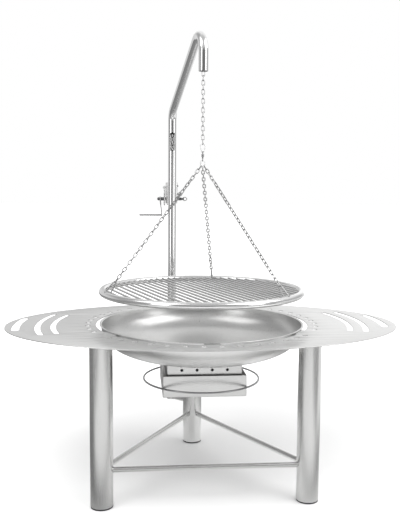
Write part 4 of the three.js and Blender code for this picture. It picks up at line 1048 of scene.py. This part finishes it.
def make_world():
    """White to the camera. To reflections it is a studio of greys: side walls brighter on the right, a back
    wall with a bright strip on its right, a dark wall behind the camera that is paler low down on its
    right, and a ceiling that is brightest at the back, but dim at its back left."""
    world = bpy.data.worlds.new("studio")
    bpy.context.scene.world = world
    world.use_nodes = True
    tree = world.node_tree
    x, y, z = outputs_of(tree, "SeparateXYZ", {0: outputs_of(tree, "TexCoord")["Generated"]})
    sides = change(tree, x, -0.7, 0.6, 0.45, 0.65)
    back_left = change(tree, x, -0.3, 0.0, 0.85, 0.68)
    back_right = change(tree, x, 0.45, 0.7, 1.3, 0.65)
    back = step(tree, x, 0.02, 0.26, back_left, back_right)
    behind_low = change(tree, x, -0.05, 0.25, 0.3, 0.8)
    behind = step(tree, z, 0.0, 0.1, behind_low, 0.2)
    walls = step(tree, y, 0.1, 0.6, sides, back)
    walls = step(tree, y, -0.75, -0.93, walls, behind)
    ceiling_back = change(tree, x, -0.55, -0.1, 0.5, 1.15)
    ceiling = step(tree, y, -0.1, 0.45, 0.72, ceiling_back)
    level = step(tree, z, 0.2, 0.5, walls, ceiling)
    studio = outputs_of(tree, "Background", {"Color": WHITE, "Strength": level})[0]
    white = outputs_of(tree, "Background", {"Color": WHITE})[0]
    camera = outputs_of(tree, "LightPath")["Is Camera Ray"]
    seen = outputs_of(tree, "MixShader", {0: camera, 1: studio, 2: white})[0]
    tree.nodes.remove(tree.nodes["Background"])
    feed(tree, tree.nodes["World Output"], {"Surface": seen})


def distance_from(tree, place, centre):
    """How far a place is from a centre."""
    return outputs_of(tree, "VectorMath", {0: place, 1: centre}, operation="DISTANCE")["Value"]


def floor_material():
    """White to the camera, with painted shade in its colour: a little grey round a spot under the grill, and
    lifted to pure white further away. To reflections its colour holds painted light and shade: bright under
    the bowl and in front of the grill, and grey elsewhere; far off, they pass through it and see the studio."""
    material = bpy.data.materials.new("white_floor")
    material.use_nodes = True
    tree = material.node_tree
    rays = outputs_of(tree, "LightPath")
    camera, mirrored = rays["Is Camera Ray"], rays["Is Glossy Ray"]
    place = outputs_of(tree, "TexCoord")["Object"]
    x, y, _ = outputs_of(tree, "SeparateXYZ", {0: place})
    # Painted light and shade that reflections see in the floor's colour: grey round the grill, bright (1.3,
    # above white) in a patch under the bowl, and bright in front of the grill
    around = change(tree, x, -1.4, 1.0, 0.27, 0.5)
    around = step(tree, x, 0.9, 1.6, around, 0.95)
    under_bowl = distance_from(tree, place, PAINTED_LIGHT_CENTRE)
    inner = step(tree, under_bowl, 0.35, 0.8, 1.3, around)
    front_left = change(tree, x, -1.9, -1.0, 0.38, 1.0)
    front_right = change(tree, x, 0.7, 1.65, 1.0, 0.36)
    front = outputs_of(tree, "Math", {0: front_left, 1: front_right}, operation="MINIMUM")[0]
    painted_reflection_tone = step(tree, y, -0.85, -0.3, front, inner)
    distance = distance_from(tree, place, PAINTED_SHADE_CENTRE)
    # Painted shade: to the camera the floor's colour is greyer near the grill, 0.86 at the middle, rising to
    # 1 further out
    painted_shade_pool = change(tree, distance, 0.2, 1.0, 0.86, 1.0)
    # The floor's colour: painted shade to the camera, painted light and shade to reflections, and an even
    # 0.8 to other light
    shade = blend(tree, camera, blend(tree, mirrored, 0.8, painted_reflection_tone), painted_shade_pool)
    grey = outputs_of(tree, "CombineColor", {0: shade, 1: shade, 2: shade})[0]
    matt = outputs_of(tree, "BsdfDiffuse", {"Color": grey})[0]
    lift = blend(tree, camera, 0.0, change(tree, distance, 0.5, 1.8, 0.0, FAR_LIFT))
    glow = outputs_of(tree, "Emission", {"Strength": lift})[0]
    solid = outputs_of(tree, "AddShader", {0: matt, 1: glow})[0]
    opened = blend(tree, mirrored, 0.0, change(tree, distance, 5.0, 8.0, 0.0, 1.0))
    clear = outputs_of(tree, "BsdfTransparent")[0]
    seen = outputs_of(tree, "MixShader", {0: opened, 1: solid, 2: clear})[0]
    tree.nodes.remove(tree.nodes["Principled BSDF"])
    feed(tree, tree.nodes["Material Output"], {"Surface": seen})
    return material


def make_floor():
    """A wide level square just under the feet."""
    mesh = bpy.data.meshes.new("floor")
    corners = [(-1, -1), (1, -1), (1, 1), (-1, 1)]
    corners = [(x * FLOOR_REACH, y * FLOOR_REACH, -FLOOR_DROP) for x, y in corners]
    mesh.from_pydata(corners, [], [(0, 1, 2, 3)])
    mesh.materials.append(floor_material())
    linked("floor", mesh)


def make_lamps():
    """Two tall soft lamps left and right of the camera, and two wide ones high up on either side."""
    for name, (place, aim, size, power) in LAMPS.items():
        lamp = bpy.data.lights.new(name, "AREA")
        lamp.shape = "RECTANGLE"
        lamp.size, lamp.size_y = size
        lamp.energy = power
        aimed(linked(name, lamp), place, np.asarray(aim, float) - np.asarray(place, float))


def aimed(thing, place, forward, roll=0.0):
    """Puts a lamp or the camera at a place, looking along a direction, rolled by an angle in degrees."""
    forward = np.asarray(forward, float) / np.linalg.norm(forward)
    right = np.cross(forward, [0, 0.001, 1])
    right /= np.linalg.norm(right)
    up = np.cross(right, forward)
    c, s = math.cos(math.radians(roll)), math.sin(math.radians(roll))
    right, up = c * right + s * up, c * up - s * right
    rows = np.stack([right, up, -forward, np.asarray(place, float)], axis=-1)
    thing.matrix_world = Matrix([*rows.tolist(), [0, 0, 0, 1]])


def make_camera():
    """The photograph's view: a focal length of 700 px on a frame of 400 by 523 px."""
    camera = bpy.data.cameras.new("camera")
    camera.sensor_fit = "VERTICAL"
    camera.sensor_height = SENSOR
    camera.lens = SENSOR * FOCAL_PIXELS / FRAME_HEIGHT
    camera.clip_end = 200
    holder = linked("camera", camera)
    aimed(holder, placed(CAMERA_PLACE), CAMERA_WAY, CAMERA_ROLL)
    bpy.context.scene.camera = holder
    bpy.context.scene.view_settings.view_transform = "Standard"


make_stand()
make_fire()
make_socket()
make_gallows()
make_winch()
make_hook()
make_grate()
make_world()
make_floor()
make_lamps()
make_camera()
